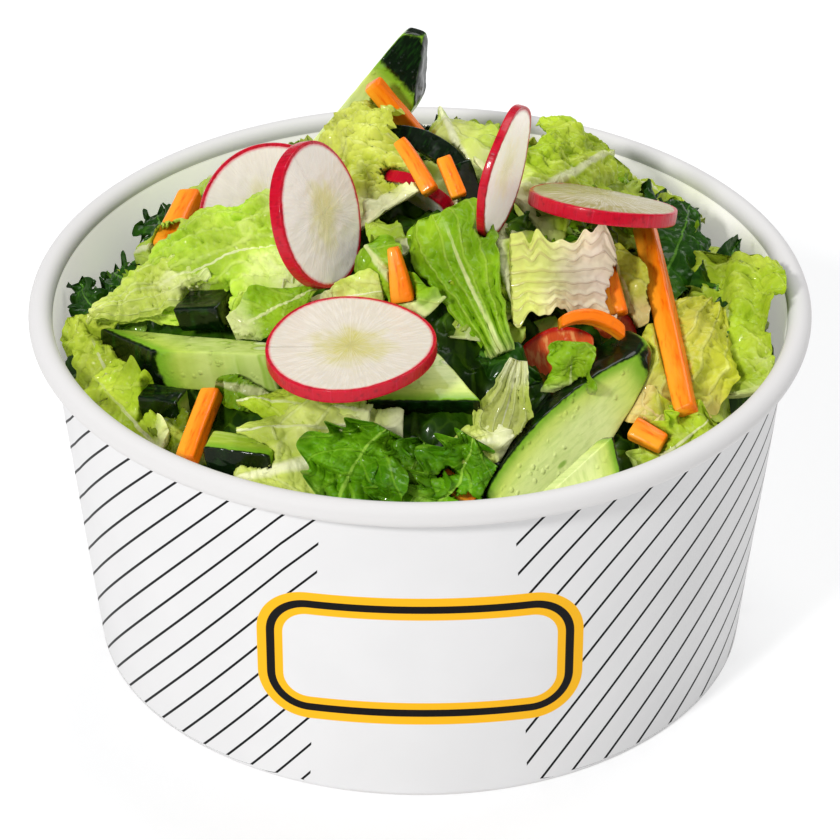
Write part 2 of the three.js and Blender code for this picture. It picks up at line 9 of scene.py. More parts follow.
import logging
import math
from collections.abc import Callable, Sequence
from dataclasses import dataclass
from enum import Enum

import bpy
import numpy as np
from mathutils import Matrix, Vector


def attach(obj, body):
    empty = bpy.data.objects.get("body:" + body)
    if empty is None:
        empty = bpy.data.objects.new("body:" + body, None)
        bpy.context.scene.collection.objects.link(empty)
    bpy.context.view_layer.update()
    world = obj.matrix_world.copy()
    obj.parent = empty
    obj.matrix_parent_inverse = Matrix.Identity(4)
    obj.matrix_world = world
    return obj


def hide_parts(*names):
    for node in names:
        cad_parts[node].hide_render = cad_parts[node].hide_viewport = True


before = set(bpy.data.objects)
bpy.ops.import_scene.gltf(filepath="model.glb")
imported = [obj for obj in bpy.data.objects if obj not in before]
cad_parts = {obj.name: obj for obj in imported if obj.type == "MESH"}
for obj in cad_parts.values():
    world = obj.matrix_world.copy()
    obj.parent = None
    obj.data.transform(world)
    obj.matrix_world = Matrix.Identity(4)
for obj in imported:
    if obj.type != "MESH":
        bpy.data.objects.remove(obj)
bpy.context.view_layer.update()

logging.basicConfig(level=logging.INFO, format="%(message)s")
log = logging.getLogger("salad")

MM = 0.001
Array = np.ndarray
Triple = tuple[float, float, float]
Colour = tuple[float, float, float, float]
Knife = tuple[float, float, float, float]
Socket = bpy.types.NodeSocket

# The way from the salad to the camera.
VIEW = (0.0, -0.8415, 0.5402)
# Guards against a division by nothing, and a distance past everything, in mm.
TINY, FAR = 1e-6, 1e6


# ---- Numbers ---------------------------------------------


def unit(v: Sequence[float] | Array) -> Array:
    """The vector at length one."""
    v = np.asarray(v, float)
    return v / np.linalg.norm(v)


def smooth(x: Array, low: float, high: float) -> Array:
    """0 below low, 1 above high, and a smooth rise between them."""
    t = np.clip((x - low) / (high - low), 0.0, 1.0)
    return t * t * (3.0 - 2.0 * t)


def vectors(x: Array | float, y: Array | float, z: Array | float) -> Array:
    """Three arrays or numbers, spread to one shape, as an array of vectors."""
    return np.stack(np.broadcast_arrays(x, y, z), -1)


def name_seed(name: str) -> int:
    """A seed that belongs to a name: the sum of its letters' codes."""
    return sum(map(ord, name))


def colour(r: float, g: float, b: float) -> Colour:
    """A screen colour, 0 to 255, as linear light.

    Args:
        r, g, b: the screen values.

    Returns:
        The colour with alpha 1.
    """
    shares = (r / 255, g / 255, b / 255)
    lin = [c / 12.92 if c <= 0.04045 else ((c + 0.055) / 1.055) ** 2.4 for c in shares]
    return (lin[0], lin[1], lin[2], 1.0)


@dataclass
class Ripples:
    """Smooth seeded unevenness: a sum of sine waves in random directions.

    Attributes:
        size: length of the longest waves, in mm.
        seed: which unevenness.
        octaves: how many times the waves are halved and added again.
        waves: sine waves in each octave.
    """

    size: float
    seed: int
    octaves: int = 2
    waves: int = 9

    def __call__(self, points: Array) -> Array:
        """Sum over waves of sin(2 pi (direction . point) / length + phase), about -1 to 1.

        Args:
            points: (..., 3) places in mm.

        Returns:
            (...) values.
        """
        rng = np.random.default_rng(self.seed)
        total = np.zeros(points.shape[:-1])
        reach = 0.0
        for octave in range(self.octaves):
            share = 0.55**octave
            turn = rng.normal(size=(self.waves, 3))
            turn /= np.linalg.norm(turn, axis=1, keepdims=True)
            length = self.size / 2**octave * rng.uniform(0.75, 1.3, self.waves)
            phase = rng.uniform(0, 2 * math.pi, self.waves)
            waves = np.sin(2 * math.pi * points @ (turn / length[:, None]).T + phase)
            total += share * waves.sum(-1) * (1.6 / math.sqrt(self.waves * 2))
            reach += share
        return total / reach


@dataclass(frozen=True)
class Frame:
    """A place with three axes at right angles.

    Attributes:
        at: the origin in mm.
        x, y, z: the axes.
    """

    at: Array
    x: Array
    y: Array
    z: Array

    @staticmethod
    def along(at: Triple, along: Triple, up: Triple) -> "Frame":
        """The frame whose x runs along, and whose z is as near up as it can be.

        Args:
            at: its origin in mm.
            along, up: the two ways.

        Returns:
            The frame.
        """
        x = unit(along)
        y = unit(np.cross(up, x))
        return Frame(np.array(at, float), x, y, np.cross(x, y))

    @staticmethod
    def facing(at: Triple, faces: Triple) -> "Frame":
        """The frame whose z faces the given way.

        Args:
            at: its origin in mm.
            faces: the way.

        Returns:
            The frame; its x is square to y, or level where it faces nearly along y.
        """
        z = unit(faces)
        x = unit(np.cross([0.0, 1.0, 0.0] if abs(z[1]) < 0.9 else [0.0, 0.0, 1.0], z))
        return Frame(np.array(at, float), x, np.cross(z, x), z)

    def out(self, local: Array) -> Array:
        """Points of this frame as points of the bowl's frame."""
        return self.at + local @ np.stack([self.x, self.y, self.z])

    def into(self, points: Array) -> Array:
        """Points of the bowl's frame as points of this one."""
        return (points - self.at) @ np.stack([self.x, self.y, self.z]).T


# ---- Meshes ----------------------------------------------


def tube_faces(rows: int, columns: int, ring: bool) -> tuple[Array, Array]:
    """Faces over a grid whose columns join round.

    Each quad joins a point to the next in its row and to the same two in the next row. The ends
    get a fan to one more point each, numbered after the grid, unless the rows join round too.

    Args:
        rows: rows of points.
        columns: points in a row.
        ring: whether the last row joins the first.

    Returns:
        Quads (n, 4) and triangles (m, 3) of point numbers.
    """
    row = np.arange(rows if ring else rows - 1)[:, None]
    col = np.arange(columns)[None, :]
    after, beside = (row + 1) % rows, (col + 1) % columns
    here, there = row * columns, after * columns
    corners = np.broadcast_arrays(here + col, here + beside, there + beside, there + col)
    quads = np.stack(corners, -1).reshape(-1, 4)
    if ring:
        return quads, np.zeros((0, 3), int)
    one, two = np.arange(columns), (np.arange(columns) + 1) % columns
    first = np.full(columns, rows * columns)
    last = (rows - 1) * columns
    fans = [np.stack([first, two, one], -1), np.stack([first + 1, last + one, last + two], -1)]
    return quads, np.concatenate(fans)


def closed_piece(
    name: str,
    grid: Array,
    material: bpy.types.Material,
    marks: dict[str, Array] | None = None,
    ring: bool = False,
) -> bpy.types.Object:
    """A closed mesh over a grid whose columns join round, its faces turned outwards.

    Args:
        name: name of the piece.
        grid: (rows, columns, 3) points in mm.
        material: its finish.
        marks: vectors (rows, columns, 3) that its finish reads, by name.
        ring: whether the rows join round too, instead of being closed by a fan at each end.

    Returns:
        The object, at the origin and riding on the one body.
    """
    rows, columns = grid.shape[:2]
    quads, fans = tube_faces(rows, columns, ring)

    def flat(values: Array) -> Array:
        """The grid as a list, with the middle of each end after it."""
        listed = values.reshape(-1, 3)
        return listed if ring else np.concatenate([listed, values[:1].mean(1), values[-1:].mean(1)])

    points = flat(grid)
    triangles = np.concatenate([quads[:, :3], quads[:, [0, 2, 3]], fans])
    a, b, c = (points[triangles[:, i]] for i in range(3))
    inside_out = (a * np.cross(b, c)).sum() < 0
    if inside_out:
        quads, fans = quads[:, ::-1], fans[:, ::-1]
    mesh = bpy.data.meshes.new(name)
    mesh.from_pydata((points * MM).tolist(), [], quads.tolist() + fans.tolist())
    for mark, values in (marks or {}).items():
        layer = mesh.attributes.new(mark, "FLOAT_VECTOR", "POINT")
        layer.data.foreach_set("vector", flat(values).astype(np.float32).ravel())
    mesh.polygons.foreach_set("use_smooth", np.ones(len(mesh.polygons), bool))
    mesh.materials.append(material)
    mesh.update()
    piece = bpy.data.objects.new(name, mesh)
    bpy.context.scene.collection.objects.link(piece)
    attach(piece, "root")
    return piece


# ---- Shader building -------------------------------------


@dataclass
class Tree:
    """A node tree with short calls for the nodes that the finishes use."""

    nodes: bpy.types.NodeTree

    def add(self, kind: str, inputs: dict | None = None, **settings: object) -> bpy.types.Node:
        """A new node.

        Args:
            kind: its type.
            inputs: what its sockets get, by name or number: a link or a constant.
            settings: its other settings.

        Returns:
            The node.
        """
        made = self.nodes.nodes.new(kind)
        for key, value in settings.items():
            setattr(made, key, value)
        for key, value in (inputs or {}).items():
            if isinstance(value, Socket):
                self.nodes.links.new(value, made.inputs[key])
            else:
                made.inputs[key].default_value = value
        return made

    def mark(self, name: str) -> Socket:
        """The vector that the mesh carries under a name."""
        return self.add("ShaderNodeAttribute", attribute_name=name).outputs["Vector"]

    def place(self) -> Socket:
        """Object coordinates, which are the bowl's frame in metres."""
        return self.add("ShaderNodeTexCoord").outputs["Object"]

    def parts(self, vector: Socket) -> tuple[Socket, Socket, Socket]:
        """The three numbers of a vector."""
        split = self.add("ShaderNodeSeparateXYZ", {0: vector})
        return split.outputs[0], split.outputs[1], split.outputs[2]

    def vector(self, x: Socket | float, y: Socket | float, z: Socket | float = 0.0) -> Socket:
        """Three numbers as a vector."""
        return self.add("ShaderNodeCombineXYZ", {0: x, 1: y, 2: z}).outputs[0]

    def scaled(self, vector: Socket, by: Triple) -> Socket:
        """A vector times another, number by number."""
        return self.add("ShaderNodeVectorMath", {0: vector, 1: by}, operation="MULTIPLY").outputs[0]

    def maths(
        self, operation: str, a: Socket | float, b: Socket | float = 0.0, c: Socket | float = 0.0
    ) -> Socket:
        """A sum on numbers."""
        return self.add("ShaderNodeMath", {0: a, 1: b, 2: c}, operation=operation).outputs[0]

    def times(self, a: Socket | float, b: Socket | float) -> Socket:
        """One number times another."""
        return self.maths("MULTIPLY", a, b)

    def off_whole(self, value: Socket) -> Socket:
        """How far a number is from the nearest whole number."""
        turned = self.maths("FRACT", self.maths("ADD", value, 0.5))
        return self.maths("ABSOLUTE", self.maths("SUBTRACT", turned, 0.5))

    def rise(self, value: Socket, low: float, high: float, start: float = 0.0, end: float = 1.0) -> Socket:
        """A smooth rise from start to end as the value goes from low to high."""
        inputs = {0: value, 1: low, 2: high, 3: start, 4: end}
        return self.add("ShaderNodeMapRange", inputs, interpolation_type="SMOOTHSTEP").outputs[0]

    def blend(self, share: Socket, a: Socket | Colour, b: Socket | Colour) -> Socket:
        """Colour a turned into colour b by a share."""
        return self.add("ShaderNodeMix", {0: share, 6: a, 7: b}, data_type="RGBA").outputs[2]

    def noise(self, vector: Socket, scale: Socket | float, detail: float = 2.0) -> Socket:
        """Soft noise, about 0.3 to 0.7."""
        inputs = {"Vector": vector, "Scale": scale, "Detail": detail}
        return self.add("ShaderNodeTexNoise", inputs).outputs[0]

    def cells(self, vector: Socket, scale: Socket | float, feature: str = "F1") -> Socket:
        """Distance within cells: to the middle for F1, to the border for DISTANCE_TO_EDGE."""
        made = self.add("ShaderNodeTexVoronoi", {"Vector": vector, "Scale": scale}, feature=feature)
        return made.outputs["Distance"]

    def bump(self, height: Socket, distance_mm: float, strength: float) -> Socket:
        """A normal tilted by a height of 0 to 1."""
        inputs = {"Height": height, "Distance": distance_mm * MM, "Strength": strength}
        return self.add("ShaderNodeBump", inputs).outputs[0]

    def effect(self, group: bpy.types.NodeTree, **values: Socket | float) -> bpy.types.Node:
        """A shared effect placed with its own values, by the names of its sockets in lower case."""
        inputs = {key.capitalize(): value for key, value in values.items()}
        return self.add("ShaderNodeGroup", inputs, node_tree=group)


def new_effect(
    name: str, inputs: dict[str, str | float], outputs: Sequence[str]
) -> tuple[Tree, dict[str, Socket], Callable[[str, Socket], None]]:
    """An empty shared effect with named sockets.

    Args:
        name: name of the effect.
        inputs: socket name to "vector", or to the default of a number.
        outputs: names of the numbers that it puts out.

    Returns:
        The tree, its input sockets by name, and a call that links an output.
    """
    group = bpy.data.node_groups.new(name, "ShaderNodeTree")
    for key, default in inputs.items():
        kind = "NodeSocketVector" if default == "vector" else "NodeSocketFloat"
        made = group.interface.new_socket(key, in_out="INPUT", socket_type=kind)
        if default != "vector":
            made.default_value = default
    for key in outputs:
        group.interface.new_socket(key, in_out="OUTPUT", socket_type="NodeSocketFloat")
    tree = Tree(group)
    source = group.nodes.new("NodeGroupInput")
    target = group.nodes.new("NodeGroupOutput")

    def put(key: str, value: Socket) -> None:
        """Links a value to an output."""
        group.links.new(value, target.inputs[key])

    return tree, {key: source.outputs[key] for key in inputs}, put


class Effects:
    """The shader effects that several finishes share."""

    def __init__(self) -> None:
        """Builds each of them once."""
        self.wet = self._wet()
        self.mottle = self._mottle()
        self.veins = self._veins()

    def _wet(self) -> bpy.types.NodeTree:
        """A film of water: beads where cell middles stand up, over a slow swell.

        Returns:
            The effect, whose Beads input is the height of the beads.
        """
        tree, given, put = new_effect("Wet film", {"Place": "vector", "Beads": 0.5}, ["Height"])
        bead = tree.rise(tree.cells(given["Place"], 620.0), 0.42, 0.12)
        chosen = tree.rise(tree.noise(given["Place"], 190.0), 0.5, 0.62)
        swell = tree.noise(given["Place"], 420.0)
        beads = tree.times(tree.times(bead, chosen), given["Beads"])
        put("Height", tree.maths("MULTIPLY_ADD", swell, 0.6, beads))
        return tree.nodes

    def _mottle(self) -> bpy.types.NodeTree:
        """Patches and a fine grain, 0 to 1.

        Returns:
            The effect, whose Size input is the number of patches in a metre.
        """
        tree, given, put = new_effect("Mottle", {"Place": "vector", "Size": 100.0}, ["Patches", "Grain"])
        put("Patches", tree.rise(tree.noise(given["Place"], given["Size"], 2.5), 0.33, 0.67))
        put("Grain", tree.noise(given["Place"], 900.0, 3.0))
        return tree.nodes

    def _veins(self) -> bpy.types.NodeTree:
        """A leaf's midrib, veins and fine net, from its vein numbers and its place in mm.

        Numbers are (vein phase, distance from the midrib in rib widths, width of a vein as a
        share of the space between two). A vein runs where the phase is a whole number.

        Returns:
            The effect, whose Net input is the size of the net's cells in mm.
        """
        names = {"Numbers": "vector", "Spread": "vector", "Net": 3.0}
        tree, given, put = new_effect("Leaf veins", names, ["Midrib", "Side veins", "Net lines", "Cells"])
        phase, ratio, width = tree.parts(given["Numbers"])
        put("Midrib", tree.rise(ratio, 1.15, 0.35))
        put("Side veins", tree.rise(tree.maths("DIVIDE", tree.off_whole(phase), width), 1.0, 0.25))
        swirl = tree.add("ShaderNodeTexNoise", {"Vector": given["Spread"], "Scale": 0.25, "Detail": 1.0})
        drift = tree.scaled(swirl.outputs[1], (5.0, 5.0, 0.0))
        bent = tree.add("ShaderNodeVectorMath", {0: drift, 1: given["Spread"]}, operation="ADD").outputs[0]
        net = tree.cells(bent, tree.maths("DIVIDE", 1.0, given["Net"]), "DISTANCE_TO_EDGE")
        put("Net lines", tree.rise(net, 0.12, 0.0))
        put("Cells", tree.rise(net, 0.0, 0.45))
        return tree.nodes


@dataclass(frozen=True)
class Finish:
    """What every finish has: a new material and its tree.

    Attributes:
        effects: the shared shader effects.
    """

    effects: Effects

    def start(self, name: str) -> tuple[bpy.types.Material, Tree]:
        """An empty material that is never sampled as a lamp.

        Args:
            name: its name.

        Returns:
            The material and its tree.
        """
        made = bpy.data.materials.new(name)
        made.use_nodes = True
        made.node_tree.nodes.clear()
        made.cycles.emission_sampling = "NONE"
        return made, Tree(made.node_tree)

    def surface(self, tree: Tree, base: Socket, normal: Socket, **constants: float) -> bpy.types.Node:
        """A Principled BSDF with a varying colour and normal.

        Args:
            tree: the material's tree.
            base, normal: its colour and normal.
            constants: numbers for its other sockets, by the short names below.

        Returns:
            The node.
        """
        names = {
            "roughness": "Roughness",
            "coat": "Coat Weight",
            "coat_rough": "Coat Roughness",
            "inner": "Subsurface Weight",
            "inner_reach": "Subsurface Scale",
            "sheen": "Specular IOR Level",
        }
        bsdf = tree.add("ShaderNodeBsdfPrincipled", {"Base Color": base, "Normal": normal})
        for key, value in constants.items():
            bsdf.inputs[names[key]].default_value = value
        return bsdf

    def glow(self, tree: Tree, bsdf: bpy.types.Node, light: Colour, strength: Socket) -> None:
        """Paints light that comes through a thin piece as a faint glow of varying strength: painted light, as
        the piece is no lamp.
        """
        bsdf.inputs["Emission Color"].default_value = light
        tree.nodes.links.new(strength, bsdf.inputs["Emission Strength"])

    def end(self, tree: Tree, shader: Socket) -> None:
        """Links the shader to the material's output."""
        tree.add("ShaderNodeOutputMaterial", {0: shader})


# ---- Bowl ------------------------------------------------


@dataclass(frozen=True)
class Hatch:
    """One side's slanting lines: how many lie below a height, and round the wall to an angle.

    Attributes:
        start: degrees from the front where a line stands on the foot.
        pitch: height from one line to the next at the foot, in mm.
        crowd: lines gained near the top.
        round: lines to a degree at the start.
        slow: how fast that falls off.
        even: degrees past the start up to which it falls so.
        bend: how fast it falls after that, for as many degrees as span.
        squeeze: how much closer the lines lie towards the side.
        span: degrees over which it falls by bend, after which it keeps.
        tall: height at which the crowd counts in full, in mm.
    """

    start: float
    pitch: float
    crowd: float
    round: float
    slow: float
    even: float = 50.0
    bend: float = 0.0
    squeeze: float = 0.0
    span: float = 20.0
    tall: float = 65.0

    def phase(self, degrees: Array, height: Array, side: float) -> Array:
        """A whole number on every line: lines below the height, less lines round the wall.

        Args:
            degrees: how far round from the front, growing away from it.
            height: mm above the foot.
            side: 1 where the lines rise away from the front, -1 where they fall.

        Returns:
            The phase.
        """
        past = degrees - self.start
        near = np.minimum(past, self.even)
        beyond = np.clip(past - self.even, 0.0, self.span)
        rest = np.maximum(past - self.even - self.span, 0.0)
        rate = self.round - 2 * self.slow * self.even
        turned = self.round * near - self.slow * near**2 + rate * beyond - self.bend * beyond**2
        turned = turned + (rate - 2 * self.span * self.bend) * rest
        share = height / self.tall
        closer = 1 + self.squeeze * np.clip(past, 0.0, self.even)
        return height / self.pitch * closer + self.crowd * share**3.5 - side * turned


# The third mark also tells the sides of the paper apart: it is OUTSIDE or more on the printed
# side, RIM on the bead and the foot, and INSIDE on the inner side.
OUTSIDE, RIM, INSIDE = -8.0, -8.9, -10.0


@dataclass(frozen=True)
class Print:
    """The print on the outside of the wall: a hatch both sides of a bare front, and a frame.

    Attributes:
        left, right: the hatches.
        line: share of the pitch that a line takes.
        middle, half_high, half_wide, corner: the frame's middle height, half sizes and corner
            radius, in mm.
        bands: widths of its three bands from the outside, in mm.
        droop: how far it hangs lower 15 degrees from its middle, in mm.
        left_edge, right_edge: degrees from the front where each hatch starts at the foot, and
            how many fewer at each mm of height.
    """

    left: Hatch = Hatch(21.4, 6.68, 0.3, 0.2085, 0.00048, bend=0.0011, squeeze=0.0019)
    right: Hatch = Hatch(20.7, 9.35, 0.53, 0.175, 0.0011)
    line: float = 0.11
    middle: float = 33.7
    half_high: float = 15.5
    half_wide: float = 31.5
    corner: float = 10.5
    bands: Triple = (1.95, 1.75, 1.65)
    droop: float = 0.7
    left_edge: tuple[float, float] = (19.2, 0.065)
    right_edge: tuple[float, float] = (18.8, 0.072)

    def marks(self, angle: Array, height: Array, radius: Array) -> Array:
        """Hatch phase, distance inside the frame's outer edge, and distance into the hatch.

        The frame's distance is that of a box with round corners, unrolled from the wall, its
        ends drooping with the square of the angle.

        Args:
            angle: radians from the front, positive to the right.
            height: mm above the foot.
            radius: mm of the wall there.

        Returns:
            (..., 3) marks.
        """
        degrees = np.degrees(angle)
        right = self.right.phase(degrees, height, 1.0)
        left = self.left.phase(-degrees, height, -1.0)
        phase = np.where(angle > 0, right, left)
        starts = [foot - fewer * height for foot, fewer in (self.right_edge, self.left_edge)]
        hatched = (np.abs(degrees) - np.where(angle > 0, *starts)) * radius * math.pi / 180
        hanging = self.droop * (degrees / 15.0) ** 2
        across = np.abs(angle) * radius - (self.half_wide - self.corner)
        up = np.abs(height + hanging - self.middle) - (self.half_high - self.corner)
        outside = np.hypot(np.maximum(across, 0), np.maximum(up, 0))
        outside = outside + np.minimum(np.maximum(across, up), 0)
        return vectors(phase, self.corner - outside, hatched)


@dataclass(frozen=True)
class PaperFinish(Finish):
    """Coated white paper, with the print on its outside wall."""

    art: Print = Print()
    white: Colour = colour(220, 219, 219)
    # The bead and the foot get a colour a shade darker than the white: painted shade, as the bead faces up
    # into the strongest light.
    rim: Colour = colour(213, 211, 210)
    # The inner side is lighter than the outside white: painted light for the inside of the bowl, which the
    # lamps leave in shade.
    inside: Colour = colour(246, 243, 236)
    ink: Colour = colour(10, 9, 10)
    yellow: Colour = colour(240, 178, 24)

    def build(self) -> bpy.types.Material:
        """White, with ink where the hatch's phase nears a whole number, and banded by the frame.

        Its inside is painted lighter and glows a little: painted light that stands in for light through the
        thin paper.

        Returns:
            The material.
        """
        made, tree = self.start("coated_paper")
        place = tree.place()
        mottle = tree.effect(self.effects.mottle, place=place, size=60.0)
        phase, framed, hatched = tree.parts(tree.mark("print"))
        line = tree.rise(tree.off_whole(phase), self.art.line / 2 + 0.012, self.art.line / 2 - 0.012)
        clear = tree.rise(framed, -0.05, 0.05)
        hatch = tree.times(line, tree.rise(hatched, -0.06, 0.06))
        hatch = tree.times(hatch, tree.maths("SUBTRACT", 1.0, clear))
        outer, dark, inner = self.art.bands
        whole = outer + dark + inner
        gold = tree.times(clear, tree.rise(framed, whole + 0.06, whole - 0.06))
        middle = tree.maths("ABSOLUTE", tree.maths("SUBTRACT", framed, outer + dark / 2))
        black = tree.rise(middle, dark / 2 + 0.05, dark / 2 - 0.05)
        base = tree.blend(mottle.outputs["Patches"], self.white, tuple(0.975 * c for c in self.white))
        inner_side = tree.rise(hatched, RIM - 0.1, RIM - 0.7)
        # Painted shade: the darker colour on the bead and the foot.
        base = tree.blend(tree.rise(hatched, OUTSIDE - 0.1, RIM + 0.2), base, self.rim)
        base = tree.blend(inner_side, base, self.inside)
        base = tree.blend(gold, base, self.yellow)
        base = tree.blend(tree.maths("MAXIMUM", hatch, black), base, self.ink)
        normal = tree.bump(mottle.outputs["Grain"], 0.012, 0.5)
        bsdf = self.surface(tree, base, normal, roughness=0.5, sheen=0.1)
        # Painted light: the inner side and the bowl's floor glow faintly, though the paper is no lamp.
        self.glow(tree, bsdf, (1.0, 0.975, 0.94, 1.0), tree.times(inner_side, 0.32))
        self.end(tree, bsdf.outputs[0])
        return made


@dataclass
class Bowl:
    """The paper bowl: a cone of wall with a rolled rim and a folded foot, and a floor.

    Attributes:
        height, rim, bead, foot, wall, fold_high, fold, floor: as the CAD's sizes, in mm.
        lap: width of the glued side seam at the back.
        rows: points up the printed side.
    """

    finish: PaperFinish
    height: float = 72.5
    rim: float = 75.0
    bead: float = 2.3
    foot: float = 63.2
    wall: float = 0.8
    fold_high: float = 5.6
    fold: float = 1.9
    floor: float = 0.9
    lap: float = 7.0
    rows: int = 90

    def inner(self, z: Array | float) -> Array:
        """Inside radius of the wall: an even widening from foot to rim.

        Args:
            z: height in mm.

        Returns:
            The radius in mm.
        """
        top = self.height - self.bead
        narrow = self.foot - self.wall
        return narrow + (self.rim - 2 * self.bead - narrow) * np.minimum(z, top) / top

    def profile(self) -> Array:
        """The wall's section: outside, rim bead, inside and foot fold.

        Returns:
            (points, 2) radius and height in mm.
        """
        top = self.height - self.bead
        lift = np.linspace(0.25, top - self.bead, self.rows)
        outside = np.stack([self.inner(lift) + self.wall, lift], -1)
        turn = np.linspace(-math.pi + math.acos((self.bead - self.wall) / self.bead), math.pi, 40)
        middle = self.rim - self.bead
        bead = np.stack([middle + self.bead * np.cos(turn), top + self.bead * np.sin(turn)], -1)
        down = np.linspace(top - 0.6, self.fold_high + 0.3, 40)
        inside = np.stack([self.inner(down), down], -1)
        fold = self.foot - self.fold
        foot = [
            [self.inner(self.fold_high) - self.fold + self.wall + 0.25, self.fold_high],
            [self.inner(self.fold_high) - self.fold + self.wall, self.fold_high - 0.25],
            [fold, 0.25],
            [fold + 0.25, 0.0],
            [self.foot - 0.25, 0.0],
        ]
        return np.concatenate([outside, bead, inside, foot])

    def angles(self) -> Array:
        """Angles round the wall, close together at the seam and where the frame is printed."""
        half = np.concatenate([np.linspace(0.002, 0.6, 56), np.linspace(0.612, math.pi - 0.003, 84)])
        return np.concatenate([-half[::-1], half])

    def build(self) -> list[bpy.types.Object]:
        """The wall and the floor."""
        material = self.finish.build()
        return [self._wall(material), self._floor(material)]

    def _wall(self, material: bpy.types.Material) -> bpy.types.Object:
        """The section carried round from the seam to the seam.

        Point = radius (sin angle, -cos angle, 0) + (0, 0, height). The radius has a slow swell,
        and on the printed side a step where the paper laps over.

        Args:
            material: the printed paper.

        Returns:
            The piece.
        """
        section = self.profile()
        turn, radius = np.meshgrid(self.angles(), section[:, 0], indexing="ij")
        height = np.broadcast_to(section[:, 1], radius.shape)
        printed = np.zeros_like(radius)
        printed[:, 1 : self.rows - 2] = 1.0
        behind = (math.pi - np.abs(turn)) * radius
        lapped = np.where(turn > 0, smooth(behind, self.lap + 0.5, self.lap), smooth(behind, 0.5, 0.0))
        swell = Ripples(60.0, 5, 1)
        way, rise = vectors(np.sin(turn), -np.cos(turn), 0.0), vectors(0.0, 0.0, height)
        body = smooth(height, 4.0, 20.0) * smooth(height, 66.0, 50.0)
        radius = radius + printed * 0.12 * lapped + 0.1 * swell(way * radius[..., None] + rise) * body
        marks = self.finish.art.marks(turn, height, radius)
        marks[..., 2] = np.maximum(marks[..., 2], OUTSIDE)
        inner, top = self.inner(height), self.height - self.bead
        side = RIM + (INSIDE - RIM) * smooth(radius, inner + 0.7, inner + 0.2) * (height < top)
        marks = np.where((printed > 0)[..., None], marks, vectors(0.5, -9.0, side))
        place = way * radius[..., None] + rise
        wall = closed_piece("bowl_paper_wall", place, material, {"print": marks}, ring=True)
        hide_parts("bowl_wall")
        return wall

    def _floor(self, material: bpy.types.Material) -> bpy.types.Object:
        """A flat disc just above the foot fold: rings out under it and back over its top.

        Args:
            material: the printed paper.

        Returns:
            The piece.
        """
        rings = 24
        low = self.fold_high + 0.35
        radius = np.linspace(0.02, 1.0, rings) * (self.inner(low) - 0.35)
        radius = np.concatenate([radius, radius[::-1]])[:, None]
        height = np.repeat([low, low + self.floor], rings)[:, None]
        turn = np.linspace(0, 2 * math.pi, 96, endpoint=False)
        place = vectors(radius * np.cos(turn), radius * np.sin(turn), height)
        bare = np.broadcast_to([0.5, -9.0, INSIDE], place.shape)
        floor = closed_piece("bowl_paper_floor", place, material, {"print": bare})
        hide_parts("bowl_floor")
        return floor


# ---- Radish ----------------------------------------------


@dataclass(frozen=True)
class RadishFinish(Finish):
    """Crisp white flesh with a yellow-green middle and fine rays, and crimson skin."""

    flesh: Colour = colour(222, 214, 204)
    middle: Colour = colour(205, 198, 116)
    ray: Colour = colour(232, 226, 216)
    # The darker glassy green of a dulled slice, used partly as painted shade.
    dull_and_shade: Colour = colour(158, 144, 66)
    blush: Colour = colour(222, 84, 112)
    skin: Colour = colour(190, 0, 34)
    deep: Colour = colour(104, 0, 20)
    pale: Colour = colour(212, 40, 82)

    def build(self) -> bpy.types.Material:
        """Colours by the share of the radius and the depth from the skin, with rays by angle.

        Light that comes through a thin slice is painted as a faint glow of its flesh: painted light, as the
        slice is no lamp.

        Returns:
            The material.
        """
        made, tree = self.start("radish")
        place = tree.place()
        share, angle, depth = tree.parts(tree.mark("slice"))
        mottle = tree.effect(self.effects.mottle, place=place, size=230.0)
        wet = tree.effect(self.effects.wet, place=place, beads=0.25)
        rays_at = tree.vector(tree.times(angle, 7.0), tree.times(share, 1.1))
        rays = tree.rise(tree.noise(rays_at, 3.2, 3.0), 0.4, 0.66)
        patches = tree.times(mottle.outputs["Patches"], 0.22)
        heart = tree.rise(tree.maths("ADD", share, patches), 0.72, 0.22)
        flesh = tree.blend(heart, self.flesh, self.middle)
        flesh = tree.blend(tree.times(rays, 0.32), flesh, self.ray)
        near = tree.maths("ADD", depth, tree.times(tree.noise(place, 1500.0), 0.25))
        flesh = tree.blend(tree.rise(near, 1.35, 0.7, 0.0, 0.8), flesh, self.blush)
        streaks = tree.noise(tree.vector(tree.times(angle, 9.0), depth), 2.5, 2.0)
        skin = tree.blend(tree.rise(streaks, 0.55, 0.72, 0.0, 0.55), self.skin, self.pale)
        skin = tree.blend(tree.rise(mottle.outputs["Grain"], 0.5, 0.75, 0.0, 0.5), skin, self.deep)
        dull_and_shade_share, painted_glow_share, _ = tree.parts(tree.mark("tint"))
        dull_and_shade_share = tree.times(dull_and_shade_share, tree.rise(rays, 0.9, 0.1, 0.65, 1.0))
        # Glassy green flesh: partly the radish's own look, partly painted shade.
        flesh = tree.blend(dull_and_shade_share, flesh, self.dull_and_shade)
        base = tree.blend(tree.rise(near, 0.86, 0.7), flesh, skin)
        height = tree.maths("MULTIPLY_ADD", rays, 0.35, wet.outputs["Height"])
        normal = tree.bump(height, 0.16, 0.6)
        look = {"roughness": 0.34, "coat": 0.25, "coat_rough": 0.08, "sheen": 0.2}
        bsdf = self.surface(tree, base, normal, inner=0.3, inner_reach=0.003, **look)
        bsdf.inputs["Subsurface Radius"].default_value = (1.0, 0.85, 0.6)
        # Painted light: the flesh glows faintly as far as the slice's pale mark asks.
        self.glow(tree, bsdf, (1.0, 0.93, 0.86, 1.0), tree.times(painted_glow_share, tree.rise(near, 0.8, 1.6)))
        self.end(tree, bsdf.outputs[0])
        return made


